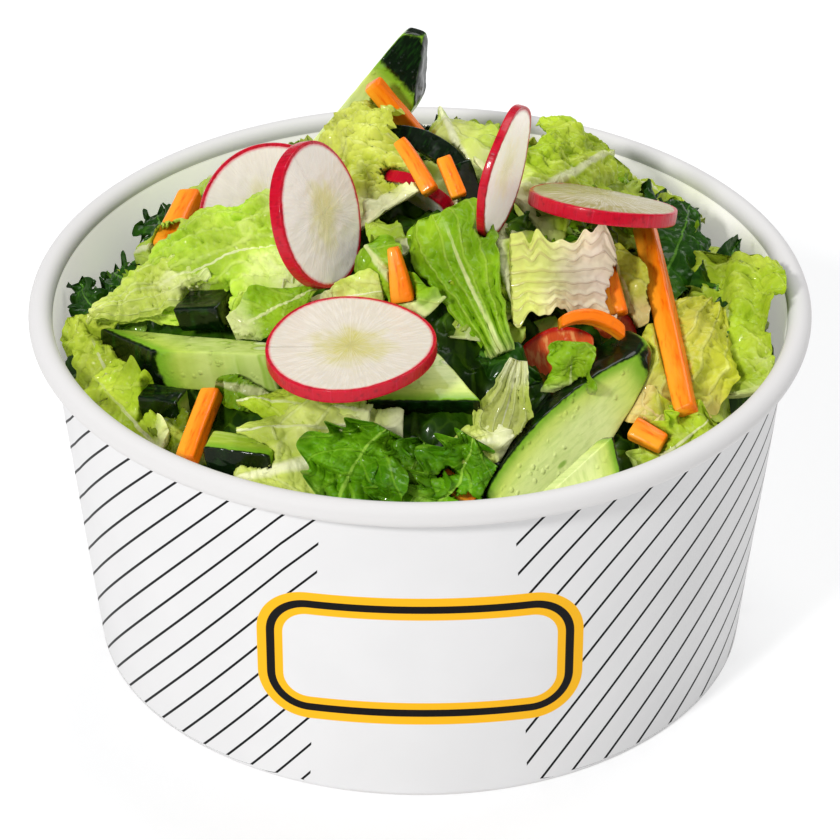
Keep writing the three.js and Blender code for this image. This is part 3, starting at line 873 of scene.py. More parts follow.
@dataclass(frozen=True)
class RadishSlice:
    """A thin round slice with skin round its edge.

    Attributes:
        name: the CAD node that it replaces.
        at, faces: its middle and the way it faces.
        radius, thick, dish: sizes in mm; the dish lifts the edge.
        wavy: how far the slice is warped, in mm.
        dull_and_shade: how far its flesh turns a darker glassy green, partly its own look and partly painted
            shade.
        pale: how strongly its flesh shows a painted glow, the painted light that stands for light coming
            through it.
    """

    name: str
    at: Triple
    faces: Triple
    radius: float
    thick: float
    dish: float
    wavy: float = 0.35
    dull_and_shade: float = 0.0
    pale: float = 0.0

    def build(self, material: bpy.types.Material) -> bpy.types.Object:
        """The slice's section carried round: flat faces, then a rounded band of skin.

        Args:
            material: the radish finish.

        Returns:
            The piece.
        """
        seed = name_seed(self.name)
        rng = np.random.default_rng(seed)
        half = self.thick / 2
        inward = np.concatenate([np.linspace(0.03, 0.9, 26), np.linspace(0.915, 0.975, 6)])
        turn = np.linspace(-math.pi / 2, math.pi / 2, 12)
        corner = 0.32
        band_r = 1 - corner * 0.5 / self.radius + corner * 0.5 * np.abs(np.cos(turn)) ** 0.6 / self.radius
        band_z = np.sign(turn) * np.abs(np.sin(turn)) ** 0.7 * half
        share = np.concatenate([inward, band_r, inward[::-1]])[:, None]
        z = np.concatenate([np.full(inward.size, -half), band_z, np.full(inward.size, half)])[:, None]
        angle = np.linspace(-math.pi, math.pi, 150, endpoint=False)
        wobble = sum(rng.uniform(0.004, 0.012) / k * np.cos(k * angle + rng.uniform(0, 6)) for k in (2, 3, 5))
        edge = self.radius * (1 + wobble - wobble.max())
        r = share * edge
        local = vectors(r * np.cos(angle), r * np.sin(angle), z)
        warp = Ripples(self.radius * 1.6, seed + 1, 1)(local * [1, 1, 0])
        fine = Ripples(3.0, seed + 2, 2)(local)
        local[..., 2] += self.dish * share**2 + self.wavy * warp * share
        local[..., 2] += 0.05 * fine * np.sign(z) * (share < 0.97)
        # The tint carries how far the flesh is darkened, partly painted shade, and the strength of its
        # painted glow.
        marks = {
            "slice": vectors(share, angle, np.maximum(edge - r, 0)),
            "tint": vectors(self.dull_and_shade, self.pale, np.zeros_like(r)),
        }
        points = Frame.facing(self.at, self.faces).out(local)
        piece = closed_piece(self.name + "_slice", points, material, marks)
        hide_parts(self.name)
        return piece


# ---- Cut vegetables --------------------------------------


def slab(thick: float) -> tuple[Knife, Knife]:
    """The knives over and under a slab: its upper face is at z = 0 of the piece."""
    return (0, 0, 1, 0), (0, 0, -1, thick)


@dataclass(frozen=True)
class CucumberFinish(Finish):
    """Dark glossy skin, a bright green ring under it, and pale flesh with long seeds."""

    skin: Colour = colour(4, 22, 2)
    streak: Colour = colour(24, 66, 8)
    ring: Colour = colour(124, 172, 40)
    green: Colour = colour(150, 178, 36)
    flesh: Colour = colour(208, 224, 108)
    heart: Colour = colour(226, 237, 158)
    seed: Colour = colour(240, 245, 208)

    def build(self) -> bpy.types.Material:
        """Colours by the depth below the skin; seeds are long cells near the middle.

        Returns:
            The material.
        """
        made, tree = self.start("cucumber")
        place = tree.place()
        depth, along, across = tree.parts(tree.mark("cut"))
        mottle = tree.effect(self.effects.mottle, place=place, size=150.0)
        wet = tree.effect(self.effects.wet, place=place, beads=0.8)
        rough = tree.maths("MULTIPLY_ADD", mottle.outputs["Grain"], 0.5, -0.25)
        soft = tree.maths("ADD", depth, rough)
        fibres = tree.noise(tree.vector(tree.times(along, 0.25), across), 1.1, 2.0)
        flesh = tree.blend(tree.rise(soft, 1.6, 6.5), self.flesh, self.heart)
        flesh = tree.blend(tree.rise(fibres, 0.42, 0.7, 0.0, 0.2), flesh, self.ring)
        seeds_at = tree.vector(tree.times(along, 0.17), tree.times(across, 0.42))
        cells = tree.cells(seeds_at, 1.0)
        seed = tree.rise(cells, 0.34, 0.24)
        rim = tree.rise(tree.maths("ABSOLUTE", tree.maths("SUBTRACT", cells, 0.38)), 0.07, 0.0)
        core = tree.rise(depth, 7.6, 9.2)
        flesh = tree.blend(tree.times(core, tree.times(rim, 0.7)), flesh, self.ring)
        flesh = tree.blend(tree.times(core, seed), flesh, self.seed)
        green, _, _ = tree.parts(tree.mark("tint"))
        greener = tree.times(green, tree.rise(fibres, 0.3, 0.6, 0.75, 1.0))
        flesh = tree.blend(greener, flesh, self.green)
        under = tree.blend(tree.rise(soft, 0.5, 2.8), self.ring, flesh)
        marks = tree.times(tree.rise(fibres, 0.5, 0.68), 0.5)
        skin = tree.blend(marks, self.skin, self.streak)
        base = tree.blend(tree.rise(soft, 0.22, 0.62), skin, under)
        relief = tree.maths("MULTIPLY_ADD", tree.times(seed, core), 0.8, wet.outputs["Height"])
        normal = tree.bump(relief, 0.34, 0.8)
        bsdf = self.surface(tree, base, normal, roughness=0.36, coat=0.5, coat_rough=0.04, sheen=0.08)
        self.end(tree, bsdf.outputs[0])
        return made


@dataclass(frozen=True)
class TomatoFinish(Finish):
    """Orange-red wet flesh with paler fibres and a thin red skin."""

    skin: Colour = colour(196, 26, 12)
    flesh: Colour = colour(224, 86, 34)
    fibre: Colour = colour(248, 164, 96)

    def build(self) -> bpy.types.Material:
        """Colours by the depth below the skin, with fibres as stretched noise.

        Returns:
            The material.
        """
        made, tree = self.start("tomato")
        place = tree.place()
        depth, along, across = tree.parts(tree.mark("cut"))
        wet = tree.effect(self.effects.wet, place=place, beads=0.5)
        lines = tree.noise(tree.vector(tree.times(along, 0.35), across), 0.8, 3.0)
        flesh = tree.blend(tree.rise(lines, 0.48, 0.68), self.flesh, self.fibre)
        base = tree.blend(tree.rise(depth, 0.4, 1.1), self.skin, flesh)
        normal = tree.bump(tree.maths("MULTIPLY_ADD", lines, 1.2, wet.outputs["Height"]), 0.3, 0.7)
        bsdf = self.surface(tree, base, normal, roughness=0.28, coat=0.5, coat_rough=0.06, sheen=0.15)
        self.end(tree, bsdf.outputs[0])
        return made


@dataclass(frozen=True)
class CutPiece:
    """A piece of a round vegetable: its skin is a cylinder, and knives cut it flat.

    Attributes:
        name: the CAD node that it replaces.
        at, along, up: its frame.
        axis_at, axis, radius: the skin's cylinder in that frame.
        knives: (a, b, c, d) keeps a x + b y + c z <= d.
        peel: numbers of the knives whose cut is skin too.
        green: how green its flesh is.
        fine: points round the piece.
        round_by: how sharp its edges are; higher is sharper.
    """

    name: str
    at: Triple
    along: Triple
    up: Triple
    axis_at: Triple
    axis: Triple
    radius: float
    knives: tuple[Knife, ...]
    peel: tuple[int, ...] = ()
    green: float = 0.0
    fine: int = 120
    round_by: float = 20.0

    def build(self, material: bpy.types.Material) -> bpy.types.Object:
        """The surface as distances from an inner point.

        In each direction the distance is the soft least, (sum of t^-p)^(-1/p), of the distances
        t to the knives' planes and to the skin's cylinder, which rounds every edge.

        Args:
            material: the vegetable's finish.

        Returns:
            The piece.
        """
        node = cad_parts[self.name]
        corners = np.array([v.co for v in node.data.vertices]) / MM
        home = Frame.along(self.at, self.along, self.up)
        local = home.into(corners)
        low, high = local.min(0), local.max(0)
        inner, half = local.mean(0) * 0.35 + (low + high) * 0.325, (high - low) / 2
        rows = int(self.fine * 0.62)
        polar = np.linspace(0.03, math.pi - 0.03, rows)[:, None]
        turn = np.linspace(0, 2 * math.pi, self.fine, endpoint=False)[None, :]
        long, wide = half[0] * np.sin(polar), half[1] * np.sin(polar)
        way = vectors(long * np.cos(turn), wide * np.sin(turn), half[2] * np.cos(polar))
        way /= np.linalg.norm(way, axis=-1, keepdims=True)
        reach = [self._to_skin(inner, way)]
        for a, b, c, d in self.knives:
            facing = np.array([a, b, c])
            going = way @ facing
            reach.append(np.where(going > TINY, (d - facing @ inner) / np.maximum(going, TINY), FAR))
        reach = np.maximum(np.stack(reach), 0.05)
        least = reach.min(0)
        distance = least * ((reach / least) ** -self.round_by).sum(0) ** (-1 / self.round_by)
        points = inner + way * distance[..., None]
        seed = name_seed(self.name)
        depth = self._depth(points)
        skinned = smooth(depth, 0.6, 0.2)
        cut, peel = Ripples(7.0, seed, 2)(points), Ripples(4.0, seed + 1, 2)(points)
        uneven = 0.1 * cut * (1 - skinned) + 0.12 * peel * skinned
        points = points + way * (uneven - 0.12)[..., None]
        marks = {
            "cut": vectors(depth, points[..., 0], points[..., 1]),
            "tint": vectors(self.green, 0.0, np.zeros_like(depth)),
        }
        piece = closed_piece(self.name + "_cut", home.out(points), material, marks)
        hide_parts(self.name)
        return piece

    def _off_axis(self, along: Array) -> Array:
        """The part of vectors that is square to the skin's axis."""
        axis = unit(self.axis)
        return along - axis * np.asarray(along @ axis)[..., None]

    def _to_skin(self, inner: Array, way: Array) -> Array:
        """Distance from the inner point to the cylinder: the larger root of a quadratic.

        Args:
            inner: the inner point in the piece's frame.
            way: (..., 3) directions at length one.

        Returns:
            (...) distances in mm.
        """
        start = self._off_axis(inner - np.array(self.axis_at))
        flat = self._off_axis(way)
        a = np.maximum((flat**2).sum(-1), 1e-9)
        b = flat @ start
        c = start @ start - self.radius**2
        return (-b + np.sqrt(np.maximum(b * b - a * c, 0))) / a

    def _depth(self, points: Array) -> Array:
        """How far points lie below the skin, or below a cut that is skin too.

        Args:
            points: (..., 3) places in the piece's frame.

        Returns:
            (...) depths in mm.
        """
        depth = self.radius - np.linalg.norm(self._off_axis(points - np.array(self.axis_at)), axis=-1)
        for number in self.peel:
            a, b, c, d = self.knives[number]
            facing = np.array([a, b, c])
            depth = np.minimum(depth, (d - points @ facing) / np.linalg.norm(facing))
        return np.maximum(depth, 0)


# ---- Carrot ----------------------------------------------


@dataclass(frozen=True)
class CarrotFinish(Finish):
    """Orange flesh with long fibres, paler towards the core side, and wet; the core side is the left of every
    stick, towards the key light, so it is partly painted light.
    """

    flesh: Colour = colour(246, 120, 6)
    core: Colour = colour(252, 158, 34)
    dark: Colour = colour(228, 86, 2)

    def build(self) -> bpy.types.Material:
        """Colours by the place in the section and by fibres along the stick.

        Returns:
            The material.
        """
        made, tree = self.start("carrot")
        place = tree.place()
        along, wide, deep = tree.parts(tree.mark("stick"))
        wet = tree.effect(self.effects.wet, place=place, beads=0.6)
        fibres = tree.noise(tree.vector(tree.times(along, 0.12), wide, deep), 2.6, 3.0)
        # Paler core on the left of each stick, darker flesh on its right: partly the carrot's core, partly
        # painted light and shade from the left.
        side = tree.rise(tree.maths("MULTIPLY_ADD", fibres, 1.6, wide), 0.2, 1.6)
        base = tree.blend(side, self.core, self.flesh)
        base = tree.blend(tree.rise(fibres, 0.55, 0.72, 0.0, 0.6), base, self.dark)
        normal = tree.bump(tree.maths("MULTIPLY_ADD", fibres, 0.9, wet.outputs["Height"]), 0.22, 0.7)
        bsdf = self.surface(tree, base, normal, roughness=0.36, coat=0.22, coat_rough=0.08, sheen=0.2)
        self.end(tree, bsdf.outputs[0])
        return made


@dataclass(frozen=True)
class CarrotStick:
    """A stick cut from a carrot.

    Attributes:
        name: the CAD node that it replaces.
        start, end: middles of its ends.
        wide, deep, bow, turn, taper: as the CAD's sizes.
    """

    name: str
    start: Triple
    end: Triple
    wide: float
    deep: float
    bow: Triple
    turn: float
    taper: float

    def build(self, material: bpy.types.Material) -> bpy.types.Object:
        """A squarish section, |x|^p + |y|^p = 1, carried along the bowed middle line.

        Args:
            material: the carrot finish.

        Returns:
            The piece.
        """
        start, end = np.array(self.start), np.array(self.end)
        way = unit(end - start)
        # The section's first axis runs to the right, so the paler core side of every stick faces left,
        # towards the key light.
        side = unit(np.array([1.0, 0, 0]) - way * way[0])
        over = np.cross(way, side)
        spin = math.radians(self.turn)
        side, over = (
            side * math.cos(spin) + over * math.sin(spin),
            over * math.cos(spin) - side * math.sin(spin),
        )
        length = np.linalg.norm(end - start)
        inset = np.array([0.0, 0.25, 0.6]) / length
        body = np.linspace(1.2 / length, 1 - 1.2 / length, 48)
        t = np.concatenate([inset, body, 1 - inset[::-1]])[:, None]
        close = np.concatenate([[0.9, 0.965, 0.99], np.ones(48), [0.99, 0.965, 0.9]])[:, None]
        turn = np.linspace(0, 2 * math.pi, 48, endpoint=False)
        power = 7.0
        radius = (np.abs(np.cos(turn)) ** power + np.abs(np.sin(turn)) ** power) ** (-1 / power)
        a, b = radius * np.cos(turn), radius * np.sin(turn)
        size = (1 + (self.taper - 1) * t) * close
        middle = start + t * (end - start) + 4 * t * (1 - t) * np.array(self.bow)
        uneven = 1 + 0.035 * Ripples(3.5, name_seed(self.name), 2)(vectors(a * 3, b * 3, t * length * 0.25))
        across = size * self.wide / 2 * a * uneven
        upward = size * self.deep / 2 * b * uneven
        points = middle[:, None, :] + across[..., None] * side + upward[..., None] * over
        marks = vectors(t * length, a, b)
        piece = closed_piece(self.name + "_stick", points, material, {"stick": marks})
        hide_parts(self.name)
        return piece


# ---- Toppings as obstacles -------------------------------


class Solids:
    """The toppings' plain solids, each as the flat faces that it lies behind.

    Attributes:
        view: the way to the viewer, along which nothing small may cover a topping.
        cover: how far in front of a topping small leaves stay away, in mm.
        gap: clear space left round a topping, in mm.
        faces: normals, offsets and the box of each topping.
    """

    def __init__(self, names: Sequence[str], cover: float = 6.0, gap: float = 0.25) -> None:
        """Reads the faces of the named nodes."""
        self.view, self.cover, self.gap = np.array(VIEW), cover, gap
        self.faces = [self._faces(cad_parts[name].data) for name in names]

    def _faces(self, mesh: bpy.types.Mesh) -> tuple[Array, Array, Array, Array]:
        """The faces of a node's mesh, without those too thin to have a normal.

        Args:
            mesh: the node's mesh.

        Returns:
            Normals, offsets, and the box's low and high corner, in mm.
        """
        normals, points = np.zeros(len(mesh.polygons) * 3), np.zeros(len(mesh.vertices) * 3)
        starts = np.zeros(len(mesh.polygons), int)
        corners = np.zeros(len(mesh.loops), int)
        mesh.polygons.foreach_get("normal", normals)
        mesh.polygons.foreach_get("loop_start", starts)
        mesh.loops.foreach_get("vertex_index", corners)
        mesh.vertices.foreach_get("co", points)
        normals, points = normals.reshape(-1, 3), points.reshape(-1, 3) / MM
        sure = np.linalg.norm(normals, axis=1) > 0.5
        first = points[corners[starts]]
        return normals[sure], (normals * first).sum(1)[sure], points.min(0), points.max(0)

    def clear(self, points: Array, over: float) -> Array:
        """Moves points that lie in a topping, or close in front of it, back behind it.

        Args:
            points: (..., 3) places in mm.
            over: how far in front of a topping a point is still moved, in mm.

        Returns:
            The points, each moved straight away from the viewer or left.
        """
        moved = points.reshape(-1, 3).copy()
        reach = self.gap + over
        for normals, offsets, low, high in self.faces:
            near = np.flatnonzero(((moved > low - reach) & (moved < high + reach)).all(1))
            ahead = offsets + over * np.maximum(0, normals @ self.view) + self.gap
            near = near[(moved[near] @ normals.T < ahead).all(1)]
            going = normals @ -self.view
            back = going > 0.05
            room = (offsets + self.gap - moved[near] @ normals.T)[:, back] / going[back]
            moved[near] -= room.min(1, initial=1e3)[:, None] * self.view
        return moved.reshape(points.shape)

    def covered(self, points: Array) -> bool:
        """Tells whether any point lies in a topping or close in front of it.

        Args:
            points: (..., 3) places in mm.

        Returns:
            True where one does.
        """
        flat = points.reshape(-1, 3)
        for normals, offsets, _, _ in self.faces:
            ahead = offsets + self.cover * np.maximum(0, normals @ self.view)
            if (flat @ normals.T < ahead + self.gap).all(1).any():
                return True
        return False


# ---- Leaves ----------------------------------------------


class Outline(Enum):
    """Half width along a leaf, as a share of the greatest, from stalk (0) to tip (1)."""

    OVAL = "oval"
    POINTED = "pointed"
    FAN = "fan"
    TORN = "torn"
    FRILLY = "frilly"
    STRIP = "strip"

    def share(self, u: Array) -> Array:
        """The half width.

        Args:
            u: places along the leaf, 0 to 1.

        Returns:
            Shares of the greatest half width.
        """
        late = np.maximum(0, (u - 0.85) / 0.15) ** 2
        match self:
            case Outline.OVAL:
                return np.sin(math.pi * (0.08 + 0.86 * u)) ** 0.7
            case Outline.POINTED:
                return np.minimum(1, 0.55 + 1.8 * u) * np.minimum(1, 1.9 * (1 - u)) ** 0.8
            case Outline.FAN:
                return 0.3 + 0.7 * np.minimum(1, 1.35 * u) ** 1.2 - 0.25 * late
            case Outline.TORN:
                return 0.86 + 0.14 * np.sin(9 * u + 0.6) - 0.3 * late
            case Outline.FRILLY:
                return np.sin(math.pi * (0.1 + 0.82 * u)) ** 0.6
            case Outline.STRIP:
                return 0.8 + 0.2 * np.sin(5 * u + 1)


@dataclass(frozen=True)
class LeafFinish(Finish):
    """A lettuce leaf: body colour, paler stalk end, veins, blisters and a film of water.

    Attributes:
        name: its name.
        body, patch, pale, vein: colours.
        fade: share of the leaf, from the stalk, that turns from pale to body.
        net: size of the fine net, in mm.
        veined, blistered: how strongly veins colour it and blisters raise it.
        thin: share of light that passes through.
        wet: coat weight.
        edge: how much its edges turn to the patch colour.
    """

    name: str
    body: Colour
    patch: Colour
    pale: Colour
    vein: Colour
    fade: float = 0.3
    net: float = 2.6
    veined: float = 0.24
    blistered: float = 0.35
    thin: float = 0.35
    wet: float = 0.3
    edge: float = 0.3

    def build(self) -> bpy.types.Material:
        """Principled mixed with Translucent, coloured by the place on the leaf.

        Returns:
            The material.
        """
        made, tree = self.start(self.name)
        place = tree.place()
        share, out, tone = tree.parts(tree.mark("blade"))
        numbers, spread = tree.mark("veins"), tree.mark("spread")
        veins = tree.effect(self.effects.veins, numbers=numbers, spread=spread, net=self.net)
        mottle = tree.effect(self.effects.mottle, place=place, size=75.0)
        wet = tree.effect(self.effects.wet, place=place, beads=0.5)
        wander = tree.maths("MULTIPLY_ADD", mottle.outputs["Patches"], 0.3, -0.15)
        young = tree.rise(tree.maths("ADD", share, wander), self.fade, self.fade * 0.2 - 0.1)
        base = tree.blend(tree.times(mottle.outputs["Patches"], 0.8), self.body, self.patch)
        base = tree.blend(tree.rise(out, 0.5, 1.0, 0.0, self.edge), base, self.patch)
        base = tree.blend(young, base, self.pale)
        for lines, strength in (("Net lines", 0.4 * self.veined), ("Side veins", self.veined)):
            base = tree.blend(tree.times(veins.outputs[lines], strength), base, self.vein)
        base = tree.blend(veins.outputs["Midrib"], base, self.pale)
        # The tone mark lightens or darkens the whole leaf; it is low on the core and the small leaves in the
        # gaps, as painted shade.
        lift = tree.maths("MULTIPLY_ADD", tone, 0.5, 0.8)
        base = tree.add("ShaderNodeHueSaturation", {"Value": lift, "Color": base}).outputs[0]
        blisters = 1.6 * self.blistered
        height = tree.maths("MULTIPLY_ADD", veins.outputs["Cells"], blisters, wet.outputs["Height"])
        height = tree.maths("MULTIPLY_ADD", veins.outputs["Side veins"], 0.8, height)
        normal = tree.bump(height, 0.26, 0.7)
        bsdf = self.surface(tree, base, normal, roughness=0.38, coat=self.wet, coat_rough=0.05, sheen=0.12)
        through = tree.add("ShaderNodeBsdfTranslucent", {"Color": base, "Normal": normal})
        mixed = tree.add("ShaderNodeMixShader", {0: self.thin, 1: bsdf.outputs[0], 2: through.outputs[0]})
        self.end(tree, mixed.outputs[0])
        return made


class Kind(Enum):
    """The kinds of leaf in the salad."""

    ROMAINE = "romaine"
    PALE = "pale"
    ICEBERG = "iceberg"
    BRIGHT = "bright"
    CURLY = "curly"
    DARK = "dark"
    PINK = "pink"
    AMBER = "amber"
    LIME = "lime"
    # The core's finish: dark greens that paint the shade deep between the leaves.
    DEEP = "deep"
    OLIVE = "olive"


# The looks of each kind: body, patch, pale stalk end and vein as screen colours, then what differs.
LOOKS: dict[Kind, tuple[Triple, Triple, Triple, Triple, dict[str, float]]] = {
    Kind.ROMAINE: ((206, 224, 92), (170, 204, 42), (240, 243, 190), (228, 238, 150),
        {"fade": 0.35, "blistered": 0.3}),
    Kind.PALE: ((222, 229, 130), (190, 210, 66), (242, 243, 200), (240, 243, 190),
        {"fade": 0.4, "blistered": 0.35, "edge": 0.5}),
    Kind.ICEBERG: ((226, 232, 108), (196, 208, 46), (244, 245, 196), (240, 243, 170),
        {"fade": 0.3, "net": 3.4, "blistered": 0.45, "wet": 0.5}),
    Kind.BRIGHT: ((166, 204, 38), (116, 168, 8), (226, 234, 160), (208, 228, 104),
        {"fade": 0.25, "blistered": 0.45, "thin": 0.3}),
    Kind.CURLY: ((98, 154, 12), (44, 104, 2), (150, 192, 66), (150, 196, 50),
        {"fade": 0.15, "net": 2.0, "veined": 0.3, "blistered": 0.7, "thin": 0.2, "wet": 0.5}),
    Kind.DARK: ((38, 86, 6), (12, 44, 1), (90, 142, 40), (76, 130, 26),
        {"fade": 0.1, "net": 2.2, "veined": 0.3, "blistered": 0.4, "thin": 0.15}),
    Kind.PINK: ((244, 228, 212), (232, 224, 182), (216, 222, 120), (176, 132, 112),
        {"fade": 0.7, "net": 6.0, "blistered": 0.15, "edge": 0.1}),
    Kind.AMBER: ((226, 222, 92), (198, 204, 46), (244, 222, 146), (242, 240, 170),
        {"fade": 0.5, "blistered": 0.3, "edge": 0.4}),
    Kind.LIME: ((210, 226, 78), (174, 204, 30), (240, 242, 190), (232, 239, 134),
        {"fade": 0.25, "net": 2.4, "blistered": 0.55}),
    # Painted shade: the core's near-black greens stand for the shade between the leaves.
    Kind.DEEP: ((46, 86, 6), (10, 32, 1), (100, 142, 30), (100, 142, 24),
        {"fade": 0.01, "net": 5.0, "veined": 0.4, "blistered": 0.4, "thin": 0.1, "wet": 0.2}),
    Kind.OLIVE: ((108, 126, 10), (62, 78, 2), (160, 172, 60), (140, 160, 40),
        {"fade": 0.2, "net": 3.0, "veined": 0.3, "blistered": 0.25, "thin": 0.2}),
}


def leaf_finishes(effects: Effects) -> dict[Kind, bpy.types.Material]:
    """The finish of each kind of leaf.

    Args:
        effects: the shared shader effects.

    Returns:
        A material for each kind.
    """
    made = {}
    for kind, (*colours, more) in LOOKS.items():
        linear = [colour(*each) for each in colours]
        made[kind] = LeafFinish(effects, f"leaf_{kind.value}", *linear, **more).build()
    return made


@dataclass(frozen=True)
class Leaf:
    """A thin closed leaf.

    Attributes:
        name, kind, outline: its name, finish and shape.
        stalk, tip, faces: its two ends and the way it faces.
        width: greatest width.
        arch, lift, wave, waves: arch along the middle, lift and waves towards the edges.
        bend: sideways bow of the middle line.
        ruffle, ruffles: height and number of frills along the edges.
        crinkle, size: height and size of the crumples.
        wrinkle: height of the sharp small wrinkles.
        pleat: height of its folds from vein to vein.
        fan: number of veins that run along it from the stalk; 0 for side veins off a midrib.
        spacing, slant: space between side veins in mm, and how far they lean to the tip.
        rib: half width of the midrib at the stalk, in mm.
        tear, teeth, tooth: ragged edges, and the number and depth of teeth.
        tone: lighter above 0.5, darker below.
        thick: thickness at the middle.
        under: how far in front of a topping it is still pushed behind it, in mm.
        fine: rows of points.
        seed: which unevenness; 0 for the one that belongs to its name.
    """

    name: str
    kind: Kind
    outline: Outline
    stalk: Triple
    tip: Triple
    faces: Triple
    width: float
    arch: float = 2.0
    lift: float = -1.0
    wave: float = 1.2
    waves: float = 2.0
    bend: float = 0.0
    ruffle: float = 0.0
    ruffles: float = 8.0
    crinkle: float = 0.6
    size: float = 9.0
    wrinkle: float = 0.55
    pleat: float = 0.35
    fan: float = 0.0
    spacing: float = 6.5
    slant: float = 0.9
    rib: float = 1.5
    tear: float = 0.1
    teeth: float = 0.0
    tooth: float = 0.0
    tone: float = 0.5
    thick: float = 0.5
    under: float = 3.5
    fine: int = 84
    seed: int = 0

    def ripples(self, size: float, which: int, octaves: int) -> Ripples:
        """One of the leaf's own unevennesses, told apart by a number."""
        return Ripples(size, (self.seed or name_seed(self.name)) + which, octaves)

    def surface(self, u: Array, v: Array) -> tuple[Array, Array, Array]:
        """Points of the leaf's middle sheet.

        Point = stalk + along u + side (half width v + frill + bend 4u(1-u)) + out (arch 4u(1-u) +
        (lift + wave sin) v^2 + ruffle |v|^2.2 sin + pleats + crumples + rib).

        Args:
            u: (rows, 1) share of the length.
            v: (1, columns) share of the half width, -1 to 1.

        Returns:
            Points (rows, columns, 3), the way out, and the vein numbers (rows, columns, 3).
        """
        start = np.array(self.stalk, float)
        along = np.array(self.tip, float) - start
        length = float(np.linalg.norm(along))
        side = unit(np.cross(along, self.faces))
        out = unit(np.cross(side, along))
        edge = vectors(u * length, np.sign(v) * 40.0, 0.0)
        ragged = self.tear * self.ripples(max(5.0, length / 4), 3, 3)(edge)
        saw = np.abs(np.mod(u * self.teeth + 0.35 * np.sign(v), 1.0) * 2 - 1) if self.teeth else 0 * u
        share = self.outline.share(u) * (1 + ragged) - self.tooth * saw * np.abs(v) ** 2
        x = self.width / 2 * np.maximum(0.1, share) * v
        spread = vectors(u * length, x, 0.0)
        waves = self.wave * np.sin(2 * math.pi * self.waves * u + np.where(v > 0, 0.4, 2.5))
        rise = self.arch * 4 * u * (1 - u) + (self.lift + waves) * v**2
        frill = 2 * math.pi * self.ruffles * u + 2.0 * self.ripples(length / 2, 5, 1)(edge)
        rise = rise + self.ruffle * np.abs(v) ** 2.2 * np.sin(frill + 1.2 * v)
        x = x + 0.5 * self.ruffle * np.sign(v) * np.abs(v) ** 3 * np.cos(frill)
        veins = self.veins(u, v, x, spread)
        near = np.abs(np.mod(veins[..., 0] + 0.5, 1.0) - 0.5)
        rise = rise + self.pleat * 0.5 * np.cos(2 * math.pi * near) * smooth(1 - np.abs(v), 0.0, 0.2)
        crumple = self.ripples(self.size, 7, 2)(spread)
        wrinkle = self.ripples(3.4, 8, 2)(spread + 1.5 * crumple[..., None])
        rise = rise + (self.crinkle * crumple - self.wrinkle * np.abs(wrinkle)) * smooth(u, 0.0, 0.12)
        rise = rise + 0.45 * self.rib * np.exp(-(veins[..., 1] ** 2))
        shift = x + self.bend * 4 * u * (1 - u)
        points = start + u[..., None] * along + shift[..., None] * side + rise[..., None] * out
        return points, out, veins

    def veins(self, u: Array, v: Array, x: Array, spread: Array) -> Array:
        """Vein phase, distance from the midrib in its widths, and the veins' relative width.

        With a fan the phase is fan v / 2, so veins run from the stalk to the tip; without, it is
        (along + slant |across| + wander) / spacing, so they leave the midrib like a feather's.

        Args:
            u, v: shares of the length and of the half width.
            x: mm from the middle line.
            spread: (rows, columns, 3) flat places in mm.

        Returns:
            (rows, columns, 3) numbers.
        """
        wander = self.ripples(16.0, 4, 2)(spread)
        if self.fan:
            phase = self.fan * v / 2 + 0.5 + 0.22 * wander
        else:
            along = spread[..., 0] + self.slant * np.abs(x)
            phase = (along + 0.3 * self.spacing * wander) / self.spacing + np.where(v > 0, 0.3, 0.0)
        width = 0.07 + 0.1 * np.maximum(0, 1 - u) * (1 - np.abs(v))
        rib = np.maximum(self.rib * (1 - 0.75 * u), 0.05)
        return vectors(phase, np.abs(x) / rib, width)

    def build(
        self, finishes: dict[Kind, bpy.types.Material], bowl: Bowl, solids: Solids, free: bool = False
    ) -> bpy.types.Object | None:
        """The leaf's two faces as one closed skin, kept inside the bowl and off the toppings.

        Args:
            finishes: the finish of each kind.
            bowl: the bowl whose wall holds it in.
            solids: the toppings.
            free: whether it is left out where it would cover a topping.

        Returns:
            The piece, or nothing where it is left out.
        """
        grid, marks = self.shell()
        if free and solids.covered(grid):
            return None
        radius = np.hypot(grid[..., 0], grid[..., 1])
        limit = bowl.inner(grid[..., 2]) - 0.4
        grid[..., :2] *= np.minimum(1.0, limit / np.maximum(radius, 1.0))[..., None]
        return closed_piece("leaf_" + self.name, solids.clear(grid, self.under), finishes[self.kind], marks)

    def shell(self) -> tuple[Array, dict[str, Array]]:
        """The closed skin: across the sheet on its outer face and back on its inner one.

        Point = sheet point + normal (half the thickness, thinner towards every edge).

        Returns:
            The grid (rows, columns, 3) in mm, and the marks that the finish reads.
        """
        columns = max(10, int(self.fine * 0.42))
        u = np.linspace(0.004, 0.996, self.fine)[:, None]
        bunch = 0.94
        across = np.sin(np.linspace(-1, 1, columns) * math.pi / 2 * bunch) / math.sin(math.pi / 2 * bunch)
        v = np.concatenate([across, across[::-1][1:-1]])[None, :]
        points, out, veins = self.surface(u, v)
        face = np.concatenate([np.ones(columns), -np.ones(columns - 2)])[None, :]
        taper = (1 - 0.75 * np.abs(v) ** 6) * (1 - 0.8 * np.abs(2 * u - 1) ** 24)
        sheet = np.where(np.abs(v) > 0.999, 0.0, face * self.thick / 2 * taper)
        turned = np.roll(points, -1, 1) - np.roll(points, 1, 1)
        normal = np.cross(np.gradient(points, axis=0), turned)
        size = np.linalg.norm(normal, axis=-1, keepdims=True)
        normal = np.where(size > TINY, normal / np.maximum(size, TINY), out)
        normal = normal * np.sign((normal * out).sum(-1, keepdims=True) + 1e-9)
        grid = points + normal * sheet[..., None]
        length = float(np.linalg.norm(np.subtract(self.tip, self.stalk)))
